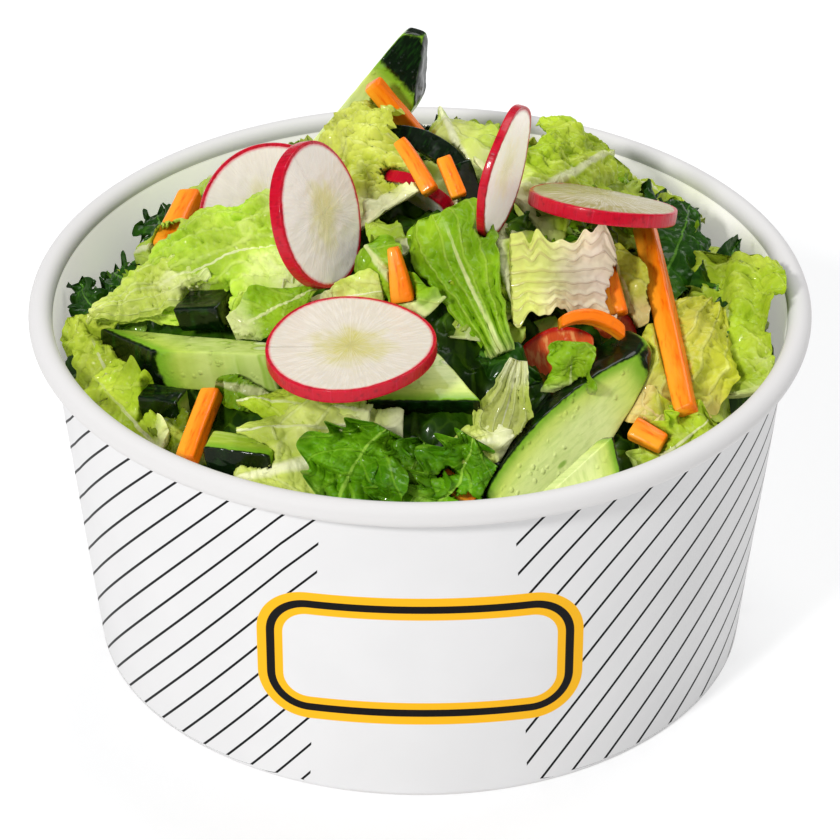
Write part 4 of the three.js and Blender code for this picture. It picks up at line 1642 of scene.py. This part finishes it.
        # Shifts the net, so that leaves side by side seldom show the same.
        apart = 37.0 * ((self.seed or name_seed(self.name)) % 13)
        tone = self.tone + 0.25 * self.ripples(14.0, 9, 1)(points)
        marks = {
            "blade": vectors(u, np.abs(v), tone),
            "spread": vectors(u * length + apart, self.width / 2 * v, face * 5.0),
            "veins": veins,
        }
        return grid, marks


# ---- The heap --------------------------------------------


@dataclass(frozen=True)
class Heap:
    """The core of the heap: a dark sheet of painted shade that shows darkly between the leaves.

    Attributes:
        edge, peak, radius, centre_y, cover: as the CAD's sizes, in mm.
        swells: (x, y, reach, height) of the places where it sinks or swells.
    """

    edge: float = 65.0
    peak: float = 96.0
    radius: float = 70.0
    centre_y: float = 4.0
    cover: float = 5.0
    swells: tuple[tuple[float, float, float, float], ...] = (
        (-52, 26, 20, -6),
        (-40, 44, 16, -4),
        (-14, -42, 14, 3),
        (-40, -22, 14, -3),
        (30, -30, 12, -5),
        (52, 0, 16, -3),
        (2, -20, 10, 2),
    )

    def height(self, x: Array, y: Array) -> Array:
        """Core height: a dome falling with the square of the distance, the swells and a small wave.

        Args:
            x, y: places in mm.

        Returns:
            Heights in mm.
        """
        share = np.hypot(x, y - self.centre_y) / self.radius
        high = self.edge - self.cover + (self.peak - self.edge) * (1 - share**2)
        for sx, sy, reach, rise in self.swells:
            high = high + rise * np.exp(-((x - sx) ** 2 + (y - sy) ** 2) / reach**2)
        return high + 0.8 * np.sin(x / 5) * np.cos(y / 4)

    def build(self, bowl: Bowl, material: bpy.types.Material) -> bpy.types.Object:
        """The core as rings from the floor's middle, up inside the wall and over the top.

        Args:
            bowl: the bowl that it fills.
            material: its finish.

        Returns:
            The piece, which stands for the heap's node.
        """
        turn = np.linspace(0, 2 * math.pi, 220, endpoint=False)
        floor_rings, wall_rings, brim = [0.02, 0.5, 0.97], 10, 56.0
        low = bowl.fold_high + 0.35 + bowl.floor + 0.4
        high = np.concatenate([np.full(len(floor_rings), low), np.linspace(low + 0.6, brim, wall_rings)])
        share = np.concatenate([floor_rings, np.ones(wall_rings)])[:, None]
        r = share * (bowl.inner(high[:, None]) - 0.8)
        sides = vectors(r * np.cos(turn), r * np.sin(turn), high[:, None])
        folds = Ripples(15.0, 21, 3)
        r = np.concatenate([np.linspace(68.4, 4.0, 84), [1.0]])[:, None]
        flat = vectors(r * np.cos(turn), r * np.sin(turn), 0.0)
        top = self.height(flat[..., 0], flat[..., 1]) - 1.5
        top = top - 1.0 + 3.0 * (0.5 - np.abs(folds(flat)) * 1.7)
        top = vectors(flat[..., 0], flat[..., 1], np.maximum(top, brim + 0.3))
        grid = np.concatenate([sides, top])
        marks = {
            # Its low tone darkens the core further: painted shade.
            "blade": np.broadcast_to([0.6, 0.3, 0.25], grid.shape),
            "spread": grid * [1, 1, 0],
            "veins": vectors(grid[..., 0] / 9 + 0.4 * folds(grid), 9.0, 0.12),
        }
        piece = closed_piece("salad_core", grid, material, marks)
        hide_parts("salad_heap")
        return piece


RADISHES = (
    # The front slice's dull mark is painted shade: it darkens a face turned up into the light.
    RadishSlice("radish_front", (-12.6, -43, 86.4), (-0.06, -0.02, 1), 15.9, 2.6, 0.5, dull_and_shade=0.2),
    RadishSlice("radish_upright", (-18.9, -16, 99.5), (0.845, -0.4, 0.353), 13.9, 2.4, -0.5, pale=0.12),
    RadishSlice("radish_back_left", (-27.8, 4.4, 86.7), (0.05, -0.88, 0.47), 14.5, 2.2, 0.4, pale=0.1),
    RadishSlice("radish_edge_on", (15.3, -7.8, 104.2), (0.925, -0.365, -0.1), 13, 1.5, 0.4, pale=0.34),
    RadishSlice("radish_right", (34.6, -2.6, 94.4), (0.146, 0.36, 0.921), 14.2, 2.6, -0.8, dull_and_shade=0.9),
    RadishSlice("radish_tucked", (-0.4, 5.6, 91.4), (-0.51, -0.66, -0.56), 7.4, 2.4, 0.0),
)

CUTS = (
    CutPiece(
        "cucumber_left", (-61, -9.9, 71.2), (0.87, -0.43, 0.235), (-0.21, 0.104, 0.972),
        (16.1, 11.1, -4), (0.895, -0.445, 0), 17.6,
        (*slab(8.5), (0, -1, 0, 8.5), (0.093, 0.996, 0, 0), (1, 0, 0, 42)),
        green=0.6, fine=240,
    ),
    CutPiece(
        "cucumber_front", (33.1, -48.4, 61.6), (0.68, 0.69, 0.25), (0.577, -0.706, 0.416),
        (0, 0, 0), (0.866, 0, -0.5), 17.5,
        (
            *slab(8), (0.346, -0.938, 0, -1.3), (0.43, 0, 0.903, 9), (1, 0, 0, 26),
            (-1, 0, 0, 22), (0, -1, 0, -4),
        ), peel=(3,), fine=260,
    ),
    CutPiece(
        "cucumber_small", (35.4, -52.4, 73.2), (-0.2, 0.5, 0.85), (0.5, -0.72, 0.48),
        (-4, 15.6, 0), (0.92, 0, -0.39), 16,
        (*slab(4.2), (0.9, 0.434, 0, 0.6), (-1, 0, 0, 8.6)),
    ),
    CutPiece(
        "cucumber_spear", (-13.6, 34, 89.3), (0.52, 0, 0.85), (-0.27, -0.949, 0.169),
        (0, 0, -16), (0.9, 0.42, 0.12), 24,
        (
            *slab(8), (0.08, 0.997, 0, 4.4), (0, -1, 0, 7.8), (-1, 0, 0, 15),
            (0.508, -0.861, 0, 13), (0.93, 0.36, 0, 21.5), (0.5, -0.1, 0.86, 7.9),
        ), peel=(5, 6, 7), green=0.1, fine=200,
    ),
    CutPiece(
        "cucumber_crescent", (-4.8, 10, 84.2), (0.47, 0.475, 0.74), (-0.254, -0.943, 0.206),
        (0, 0, 0), (0, 0, 1), 17.4, (*slab(5.5), (-1, 0, 0, -12.8)), peel=(0,), fine=160,
    ),
    CutPiece(
        "cucumber_under_radish", (11.4, -33.2, 83.4), (1, 0, 0), (0.05, -0.35, 0.94),
        (0, 0, 0), (1, 0, 0), 15,
        (*slab(11), (-1, 0, 0, 21), (0.82, 0.57, 0, -8.4), (0, 1, 0, -3)),
        green=0.15, fine=160,
    ),
    CutPiece(
        "cucumber_block", (-36, -4.8, 81.6), (0.9, -0.35, 0.25), (-0.2, 0.1, 0.97),
        (0, 0, 0), (1, 0, 0), 17,
        (*slab(5.5), (-1, 0, 0, 4.8), (1, 0, 0, 4.6), (0, 1, 0, -9)), peel=(0, 3),
    ),
    CutPiece(
        "cucumber_shadow", (-41.8, -19.2, 71), (0.9, -0.4, 0.1), (-0.1, 0, 0.99),
        (0, 0, 0), (1, 0, 0), 16.5,
        (*slab(8), (-1, 0, 0, 5), (1, 0, 0, 3.4), (0, 1, 0, -11.4)), peel=(0,),
    ),
    CutPiece(
        "cucumber_low_left", (-29.6, -35.6, 70.4), (0.95, -0.3, 0.05), (-0.05, 0, 0.99),
        (0, 0, 0), (1, 0, 0), 16.5,
        (*slab(9), (-1, 0, 0, 5.8), (1, 0, 0, 7.4), (0, 1, 0, -10.5)), green=0.9,
    ),
    CutPiece(
        "cucumber_back", (8.2, 6, 94), (0.35, -0.5, -0.79), (0.15, -0.8, 0.58),
        (0, 0, -15.5), (1, 0, 0), 15.5,
        ((0, 0, -1, 5), (-1, 0, 0, 3.6), (1, 0, 0, 7), (0, 1, 0, 3), (0, -1, 0, 1.6)),
    ),
    CutPiece(
        "cucumber_ring", (26.6, -26.4, 70.9), (-0.35, 0.505, 0.788), VIEW,
        (0, 0, 0), (0, 0, 1), 11.6, (*slab(2.4), (-1, 0, 0, -1), (0, -1, 0, 3)),
    ),
    CutPiece(
        "tomato_slice", (27, -30.9, 72.3), (-0.2, 0.53, 0.825), VIEW,
        (0, 0, 0), (0, 0, 1), 10.2,
        (*slab(2.6), (-0.6, -0.8, 0, 2.2), (0, -1, 0, 7)), fine=140,
    ),
    CutPiece(
        "radish_behind", (32, -20.4, 73.2), (0.35, 0.505, 0.788), (0.1, -0.83, 0.55),
        (0, 0, 0), (0, 0, 1), 9.4, (*slab(2.2), (-1, 0, 0, -1), (0, 1, 0, 2)),
    ),
)

CARROTS = (
    CarrotStick("carrot_top", (-9.2, 28.5, 102.7), (0.8, 27.4, 89.6), 3.7, 2.8, (0, 0, 0), 10, 1),
    CarrotStick("carrot_mid", (-3.8, 5.7, 102.8), (2, -3.2, 97), 2.7, 2.3, (0, 0, 0.4), 20, 1.2),
    CarrotStick("carrot_peak", (4.4, 2.2, 101.2), (7.4, -3.4, 96), 2.9, 2.3, (0, 0, 0), 0, 1.1),
    CarrotStick("carrot_centre", (-5, -22.4, 96.2), (-3, -26.2, 87), 2.1, 2.4, (0, -0.3, 0.2), 8, 2.1),
    CarrotStick("carrot_long", (43, 4.9, 84), (49.4, -38.8, 70.4), 4.3, 3.8, (0, 0, 0.4), 25, 0.95),
    CarrotStick("carrot_curved", (26, -31.4, 85.4), (37.6, -28.2, 81.1), 2.6, 2.4, (0, 1.1, 1.7), 0, 1.1),
    CarrotStick("carrot_left", (-44.6, 24.4, 80), (-48.8, 8.6, 77.2), 4.6, 4, (0, 0, 0.4), 15, 1.1),
    CarrotStick("carrot_low_left", (-38.6, -33.8, 71.6), (-43, -48.6, 66), 3.9, 3.2, (0, 0, 0.5), 20, 1),
    CarrotStick("carrot_right", (34.4, -11.6, 87), (37, -20.6, 80.4), 4.2, 3, (0, 0, 0), 10, 1),
    CarrotStick("carrot_low_right", (39.4, -41.4, 68.6), (45, -44.4, 67), 4.2, 3.2, (0, 0, 0), 5, 0.9),
    CarrotStick("carrot_rim", (4, -56.6, 68.2), (9.6, -60.2, 64.4), 3.4, 2.8, (0, 0, 0), 0, 1),
)

# What leaves of one sort share.
PARSLEY = {"lift": 1, "wave": 1.4, "waves": 3, "tooth": 0.5, "ruffle": 0.8, "rib": 0.4}
FRILLED = {"arch": 1.5, "lift": 1, "wave": 1.2, "wrinkle": 0.6, "rib": 0.5, "tear": 0.03}
BEHIND = {"arch": 4, "lift": -2, "wave": 1.5, "crinkle": 1.2}

LEAVES = (
    Leaf("big_left", Kind.ROMAINE, Outline.POINTED, (-15, -11, 95), (-62, -9, 72.5), (-0.35, -0.55, 0.75),
         25, arch=4, lift=-2, pleat=1.0, fan=6, rib=0.3, crinkle=1.3, size=13, wrinkle=1.1, tear=0.14,
         tone=0.85, fine=150),
    Leaf("left_tip", Kind.PALE, Outline.POINTED, (-40, -11.5, 86), (-64, -13, 75), (-0.3, -0.6, 0.75), 11,
         arch=1.5, lift=-1.5, wave=1.2, crinkle=1.2, size=8, wrinkle=1.0, fan=4, pleat=0.6, rib=0.3,
         tear=0.12, tone=0.75, fine=120),
    Leaf("crown", Kind.ICEBERG, Outline.TORN, (-6.6, -6, 94.6), (-14.6, 27, 98.2), (-0.25, -0.8, 0.55), 20,
         arch=2, lift=-2, wave=1.5, crinkle=1.8, size=8, wrinkle=1.7, rib=0.3, tear=0.15, tone=0.6,
         fine=130),
    Leaf("fan", Kind.BRIGHT, Outline.FAN, (15, -37, 82), (3.6, -13, 98.6), (-0.1, -0.85, 0.5), 17, arch=1.5,
         lift=-1.5, wave=1, pleat=1.0, fan=5, rib=0.8, tear=0.12, size=9, fine=120),
    Leaf("beside_fan", Kind.BRIGHT, Outline.TORN, (1, -31, 86), (-10, -18, 94), (-0.3, -0.8, 0.5), 10,
         arch=1, crinkle=0.8, ruffle=0.8, ruffles=5, tone=0.4),
    Leaf("pink_veined", Kind.PINK, Outline.TORN, (16.5, -24, 91), (37, -18, 87.5), (0.1, -0.8, 0.6), 18,
         arch=2.2, lift=0.5, wave=1.4, waves=1.2, pleat=0.5, fan=7, rib=0.05, crinkle=0.5, size=16,
         wrinkle=0.2, tear=0.2, tone=0.8, fine=130),
    Leaf("pink_shreds", Kind.LIME, Outline.STRIP, (14.5, -18, 95), (18.5, -27, 84), (-0.2, -0.8, 0.5), 5,
         arch=1, ruffle=1.2, ruffles=4, tear=0.3, fine=70),
    Leaf("back_right", Kind.LIME, Outline.TORN, (19, 0, 92), (38, 35, 83.6), (0.35, -0.45, 0.8), 25, arch=3,
         lift=-2, wave=1.5, waves=3, crinkle=1.3, size=9, wrinkle=0.9, rib=1.6, tear=0.12, fine=130),
    Leaf("back_pale", Kind.PALE, Outline.POINTED, (11, 3, 93), (4, 39, 91), (-0.1, -0.6, 0.8), 17, arch=2,
         lift=-2, crinkle=1.2, tear=0.16),
    Leaf("amber_right", Kind.AMBER, Outline.OVAL, (44, -42, 68), (56, -8, 76), (0.25, -0.65, 0.7), 20,
         arch=3, lift=-2, pleat=0.8, fan=4, crinkle=0.9, size=12, wrinkle=0.7, rib=0.5, tear=0.08, tone=0.7,
         fine=120),
    Leaf("far_right", Kind.LIME, Outline.TORN, (57, -26, 65), (60.5, 10, 75), (-0.2, -0.75, 0.6), 23,
         arch=2, lift=1, ruffle=1.2, ruffles=4, crinkle=1.2, size=7, wrinkle=0.9, rib=0.6, tear=0.1,
         fine=110),
    Leaf("low_right", Kind.LIME, Outline.FRILLY, (40, -50, 64), (54, -37, 68), (0.3, -0.7, 0.6), 12,
         arch=1.5, lift=1, wave=1.5, waves=3, ruffle=1.5, ruffles=5, crinkle=1.0, rib=0.5, tear=0.12),
    Leaf("pointed_front", Kind.PALE, Outline.POINTED, (-3, -53, 76), (-34, -50, 74), (-0.1, -0.7, 0.7), 13,
         arch=2.4, lift=-1.5, crinkle=1.1, size=9, pleat=0.5, rib=0.4, tear=0.22, fine=110),
    Leaf("folded_front", Kind.LIME, Outline.POINTED, (-9, -52, 79), (-34, -44, 76.5), (-0.1, -0.6, 0.8), 11,
         arch=1.5, lift=-2.5, crinkle=0.9, rib=0.4, tear=0.18, fine=100),
    Leaf("pale_rib_front", Kind.PALE, Outline.OVAL, (-9, -54.5, 72.5), (-34, -56.5, 67), (-0.2, -0.75, 0.6),
         14, arch=1.5, lift=-1.5, wave=0.6, crinkle=0.8, size=6, rib=2.4, tear=0.08, tone=0.8, fine=110),
    Leaf("curly_left", Kind.CURLY, Outline.OVAL, (-15, -64, 64), (-6, -56, 78), (-0.1, -0.9, 0.42), 19,
         ruffle=2.8, ruffles=4.0, crinkle=1.6, size=5.5, bend=-2, tone=0.9, fine=150, **FRILLED),
    Leaf("curly_mid", Kind.CURLY, Outline.OVAL, (-6, -64.5, 64), (1, -56, 75), (0, -0.9, 0.42), 14,
         ruffle=2.0, ruffles=3.0, crinkle=1.2, size=6, tone=0.6, fine=120, **FRILLED),
    Leaf("curly_right", Kind.CURLY, Outline.OVAL, (1, -64, 65), (9.5, -56, 76), (0.1, -0.9, 0.42), 17,
         ruffle=2.8, ruffles=3.8, crinkle=1.6, size=5.5, bend=2, tone=0.9, fine=150, **FRILLED),
    Leaf("ribbed_pale", Kind.PALE, Outline.FAN, (18, -41, 83), (14.5, -51, 73), (0, -0.8, 0.55), 11, arch=1,
         lift=1.5, wave=0.8, pleat=0.8, fan=4, rib=0.4, tone=0.35),
    Leaf("pale_low", Kind.PALE, Outline.OVAL, (17, -51, 73.5), (5, -57, 72.5), (0, -0.7, 0.7), 8, arch=1,
         wave=0.6, pleat=0.5, fan=3, rib=1.2),
    Leaf("frilly_left", Kind.LIME, Outline.FRILLY, (-48, -41, 63), (-63, -16, 66), (-0.4, -0.6, 0.7), 15,
         arch=2, lift=1.5, wave=1.8, waves=2, ruffle=2.0, ruffles=4.5, crinkle=1.3, rib=0.5, tear=0.12,
         fine=120),
    Leaf("left_upright", Kind.LIME, Outline.TORN, (-57, -25, 65), (-64, -6, 71), (-0.1, -0.8, 0.6), 12,
         arch=1.5, lift=1, ruffle=1.0, ruffles=3, crinkle=1.0, rib=0.4, tear=0.12, tone=0.4, fine=100),
    Leaf("parsley_low", Kind.DARK, Outline.FRILLY, (-58, -8, 66), (-66, 13, 67), (-0.3, -0.7, 0.6), 9,
         arch=1.5, teeth=7, **PARSLEY),
    Leaf("parsley_mid", Kind.DARK, Outline.FRILLY, (-52, -2, 73), (-60, 20, 65), (-0.4, -0.5, 0.75), 10,
         arch=1.5, teeth=7, **PARSLEY),
    Leaf("parsley_high", Kind.DARK, Outline.FRILLY, (-46, 4, 77), (-51.5, 33, 70.5), (-0.4, -0.5, 0.75), 11,
         arch=2, teeth=8, tone=0.65, **PARSLEY),
    Leaf("dark_right", Kind.DARK, Outline.OVAL, (45, -8, 77), (53, 30, 75), (0.2, -0.7, 0.65), 14, arch=2,
         pleat=0.4, crinkle=0.8, rib=0.4, tear=0.08),
    Leaf("dark_far_right", Kind.DARK, Outline.POINTED, (53, -10, 71), (62, 22, 71), (0, -0.8, 0.6), 10,
         arch=1.5, lift=1, crinkle=0.6, rib=0.4),
    Leaf("brownish", Kind.AMBER, Outline.OVAL, (41, -20, 77), (36, -5, 86), (0.1, -0.75, 0.6), 10, arch=1,
         lift=1, wave=0.6, rib=0.5, tone=0.3),
    Leaf("brownish_low", Kind.AMBER, Outline.TORN, (40, -36, 71), (47, -41, 68), (0.2, -0.75, 0.6), 9,
         arch=1, lift=0.5, wave=0.6, rib=0.5, tone=0.3),
    Leaf("small_green", Kind.BRIGHT, Outline.POINTED, (-35, -27, 81), (-19, -25, 89), (-0.2, -0.7, 0.7), 9,
         arch=1, lift=0.5, wave=0.8, rib=0.5, tone=0.5),
    Leaf("behind_front_radish", Kind.PALE, Outline.FAN, (-20, -25, 85), (-7, -26, 89), (0, -0.7, 0.7), 9,
         arch=1, lift=1, wave=0.8, rib=0.5),
    Leaf("over_tomato", Kind.BRIGHT, Outline.TORN, (27.5, -41, 76), (28, -36.5, 84.5), (0, -0.85, 0.5), 10,
         arch=0.8, lift=0.5, wave=0.8, crinkle=1.1, size=6, wrinkle=0.5, rib=0.3, tear=0.14, tone=0.55,
         under=0.0, fine=100),
    Leaf("green_left", Kind.ROMAINE, Outline.OVAL, (-38, 3, 84), (-55, 9, 76), (-0.4, -0.4, 0.8), 11,
         arch=1.5, tone=0.3),
    Leaf("olive_left", Kind.OLIVE, Outline.OVAL, (-37, -47, 64), (-51, -34, 68), (-0.4, -0.7, 0.6), 9,
         arch=1, wave=0.8),
    Leaf("mid_green", Kind.BRIGHT, Outline.OVAL, (-28, -39, 74), (-38, -36, 75), (-0.2, -0.7, 0.7), 8,
         arch=1, wave=0.8, tone=0.25),
    Leaf("back_a", Kind.ROMAINE, Outline.TORN, (-24, 22, 86), (-46, 44, 68), (-0.35, 0.35, 0.85), 22,
         **BEHIND),
    Leaf("back_b", Kind.BRIGHT, Outline.OVAL, (-6, 26, 86), (-14, 60, 67), (-0.1, 0.5, 0.85), 22, **BEHIND),
    Leaf("back_c", Kind.PALE, Outline.TORN, (14, 26, 86), (20, 60, 67), (0.1, 0.5, 0.85), 22, **BEHIND),
    Leaf("back_d", Kind.LIME, Outline.OVAL, (34, 30, 79), (52, 42, 67), (0.4, 0.3, 0.85), 18, arch=3,
         wave=1.5, crinkle=1.2),
)


# The kinds of the small leaves with their odds, and their outlines.
SMALL_KINDS = {
    Kind.BRIGHT: 0.2, Kind.ROMAINE: 0.16, Kind.CURLY: 0.14, Kind.DARK: 0.14,
    Kind.PALE: 0.1, Kind.LIME: 0.1, Kind.OLIVE: 0.1, Kind.ICEBERG: 0.06,
}
SMALL_OUTLINES = (Outline.OVAL, Outline.TORN, Outline.POINTED, Outline.FRILLY)


@dataclass(frozen=True)
class Filling:
    """Small leaves strewn over the core, so that its gaps show leaf beyond leaf.

    Attributes:
        heap: the core that they lie on.
        count: how many are tried.
        reach: how far from the axis they lie, in mm.
        limit: how far from it their ends may be, in mm.
        seed: which strewing.
    """

    heap: Heap
    count: int = 330
    reach: float = 63.0
    limit: float = 67.0
    seed: int = 11

    def build(
        self, finishes: dict[Kind, bpy.types.Material], bowl: Bowl, solids: Solids
    ) -> list[bpy.types.Object]:
        """Leaves at seeded places on the core, each lying roughly along it.

        Args:
            finishes: the finish of each kind.
            bowl: the bowl that holds them.
            solids: the toppings that they may not cover.

        Returns:
            The pieces.
        """
        rng = np.random.default_rng(self.seed)
        made = []
        for number in range(self.count):
            leaf = self._leaf(number, rng)
            piece = leaf.build(finishes, bowl, solids, free=True) if leaf else None
            if piece:
                made.append(piece)
        return made

    def _slope(self, x: float, y: float) -> Array:
        """The way out of the core at a place, from the heights a step to each side of it."""
        high, step = self.heap.height, 1.0
        across = (high(x - step, y) - high(x + step, y)) / (2 * step)
        return np.array([across, (high(x, y - step) - high(x, y + step)) / (2 * step), 1.0])

    def _leaf(self, number: int, rng: np.random.Generator) -> Leaf | None:
        """One small leaf.

        Args:
            number: which.
            rng: the random draws.

        Returns:
            The leaf, or nothing where an end would come too near the rim.
        """
        r, turn = self.reach * math.sqrt(rng.uniform(0, 1)), rng.uniform(0, 2 * math.pi)
        x, y = r * math.cos(turn), r * math.sin(turn)
        normal = unit(self._slope(x, y) + rng.normal(0, 0.22, 3))
        heading = unit(np.cross(normal, rng.normal(size=3)))
        long, high = rng.uniform(11, 20), float(self.heap.height(x, y)) + rng.uniform(-0.5, 1.6)
        middle, half = np.array([x, y, high]), heading * long / 2
        stalk, tip = middle - half, middle + half
        if max(np.hypot(*stalk[:2]), np.hypot(*tip[:2])) > self.limit:
            return None
        kind = list(SMALL_KINDS)[rng.choice(len(SMALL_KINDS), p=list(SMALL_KINDS.values()))]
        outline = SMALL_OUTLINES[rng.integers(len(SMALL_OUTLINES))]
        # The small leaves get a low tone, darker than most big ones: painted shade for leaves deep in the
        # gaps.
        return Leaf(
            f"filling_{number:03d}", kind, outline, tuple(stalk), tuple(tip), tuple(normal),
            rng.uniform(6, 11), arch=rng.uniform(0.3, 1.6), lift=rng.uniform(-1.0, 1.0), crinkle=0.8,
            ruffle=rng.uniform(0, 0.9), rib=0.5, tone=rng.uniform(0.0, 0.45), fine=40, wrinkle=0.35,
            seed=1000 + number,
        )


# ---- Setting ---------------------------------------------


@dataclass(frozen=True)
class Studio:
    """The camera, the soft lights and the pale floor.

    Attributes:
        target_z: height that the camera looks at, in mm.
        distance: from the camera to that point, in mm.
        elevation: degrees above the floor.
        lens, sensor: focal length and sensor width, in mm.
        sky: strength of the world's even light.
        sky_less: how much weaker it is in reflections, so that wet things stay dark.
        floor_half: half the width of the floor, in metres.
    """

    target_z: float = 43.8
    distance: float = 1000.0
    elevation: float = 32.7
    lens: float = 220.2
    sensor: float = 36.0
    sky: float = 0.52
    sky_less: float = 0.42
    floor_half: float = 6.0

    def build(self) -> None:
        """Makes the camera, the lights, the world and the floor."""
        self._camera()
        self._sun("key_light", (-0.5, -0.68, 0.62), 2.0, 9.0)
        self._sun("top_light", (0.2, 0.4, 0.88), 1.35, 40.0)
        self._world()
        self._floor()

    def _camera(self) -> None:
        """Sets the camera in front and above, with plain screen colours."""
        scene = bpy.context.scene
        tilt = math.radians(self.elevation)
        back = Vector((0, -math.cos(tilt), math.sin(tilt)))
        camera = bpy.data.cameras.new("camera")
        camera.lens, camera.sensor_width = self.lens, self.sensor
        camera.clip_start, camera.clip_end = 0.05, 50.0
        holder = bpy.data.objects.new("camera", camera)
        holder.location = Vector((0, 0, self.target_z * MM)) + back * self.distance * MM
        holder.rotation_mode = "QUATERNION"
        holder.rotation_quaternion = (-back).to_track_quat("-Z", "Y")
        scene.collection.objects.link(holder)
        scene.camera = holder
        scene.view_settings.view_transform = "Standard"

    def _world(self) -> None:
        """Even light from all round, weaker in reflections."""
        world = bpy.data.worlds.new("studio")
        world.use_nodes = True
        tree = world.node_tree
        tree.nodes["Background"].inputs[0].default_value = (0.97, 0.985, 1.0, 1.0)
        mirrored = Tree(tree).add("ShaderNodeLightPath").outputs["Is Glossy Ray"]
        strength = Tree(tree).maths("MULTIPLY_ADD", mirrored, -self.sky_less, self.sky)
        tree.links.new(strength, tree.nodes["Background"].inputs[1])
        bpy.context.scene.world = world

    def _sun(self, name: str, towards: Triple, strength: float, angle: float) -> None:
        """A far light that shines from a given direction.

        Args:
            name: its name.
            towards: the way to it.
            strength: its strength.
            angle: how wide it looks from here, in degrees.
        """
        light = bpy.data.lights.new(name, "SUN")
        light.energy, light.angle = strength, math.radians(angle)
        holder = bpy.data.objects.new(name, light)
        holder.rotation_mode = "QUATERNION"
        holder.rotation_quaternion = Vector(towards).to_track_quat("Z", "Y")
        bpy.context.scene.collection.objects.link(holder)

    def _floor(self) -> None:
        """A wide plain floor at the foot, a little bright of itself."""
        size = self.floor_half
        mesh = bpy.data.meshes.new("floor")
        corners = [(-size, -size, 0), (size, -size, 0), (size, size, 0), (-size, size, 0)]
        mesh.from_pydata(corners, [], [(0, 1, 2, 3)])
        material = bpy.data.materials.new("floor")
        material.use_nodes = True
        shader = material.node_tree.nodes["Principled BSDF"]
        shader.inputs["Base Color"].default_value = (0.5, 0.5, 0.5, 1.0)
        shader.inputs["Roughness"].default_value = 0.9
        shader.inputs["Emission Color"].default_value = (1.0, 1.0, 1.0, 1.0)
        shader.inputs["Emission Strength"].default_value = 0.5
        mesh.materials.append(material)
        floor = bpy.data.objects.new("floor", mesh)
        bpy.context.scene.collection.objects.link(floor)


# ---- The whole salad -------------------------------------


def main() -> None:
    """Builds the setting, the bowl, the toppings and the lettuce."""
    Studio().build()
    effects = Effects()
    bowl = Bowl(PaperFinish(effects))
    for piece in bowl.build():
        log.info("bowl: %s", piece.name)
    radish = RadishFinish(effects).build()
    for slice_ in RADISHES:
        log.info("radish: %s", slice_.build(radish).name)
    finishes = {"cucumber": CucumberFinish(effects).build(), "tomato": TomatoFinish(effects).build()}
    finishes["radish"] = finishes["tomato"]
    for cut in CUTS:
        log.info("cut: %s", cut.build(finishes[cut.name.split("_")[0]]).name)
    carrot = CarrotFinish(effects).build()
    for stick in CARROTS:
        log.info("carrot: %s", stick.build(carrot).name)
    lettuce = leaf_finishes(effects)
    heap = Heap()
    log.info("core: %s", heap.build(bowl, lettuce[Kind.DEEP]).name)
    solids = Solids([each.name for each in (*RADISHES, *CUTS, *CARROTS)])
    for leaf in LEAVES:
        piece = leaf.build(lettuce, bowl, solids)
        log.info("leaf: %s", piece.name)
    filling = Filling(heap).build(lettuce, bowl, solids)
    log.info("filling: %d small leaves", len(filling))


if __name__ == "__main__":
    main()
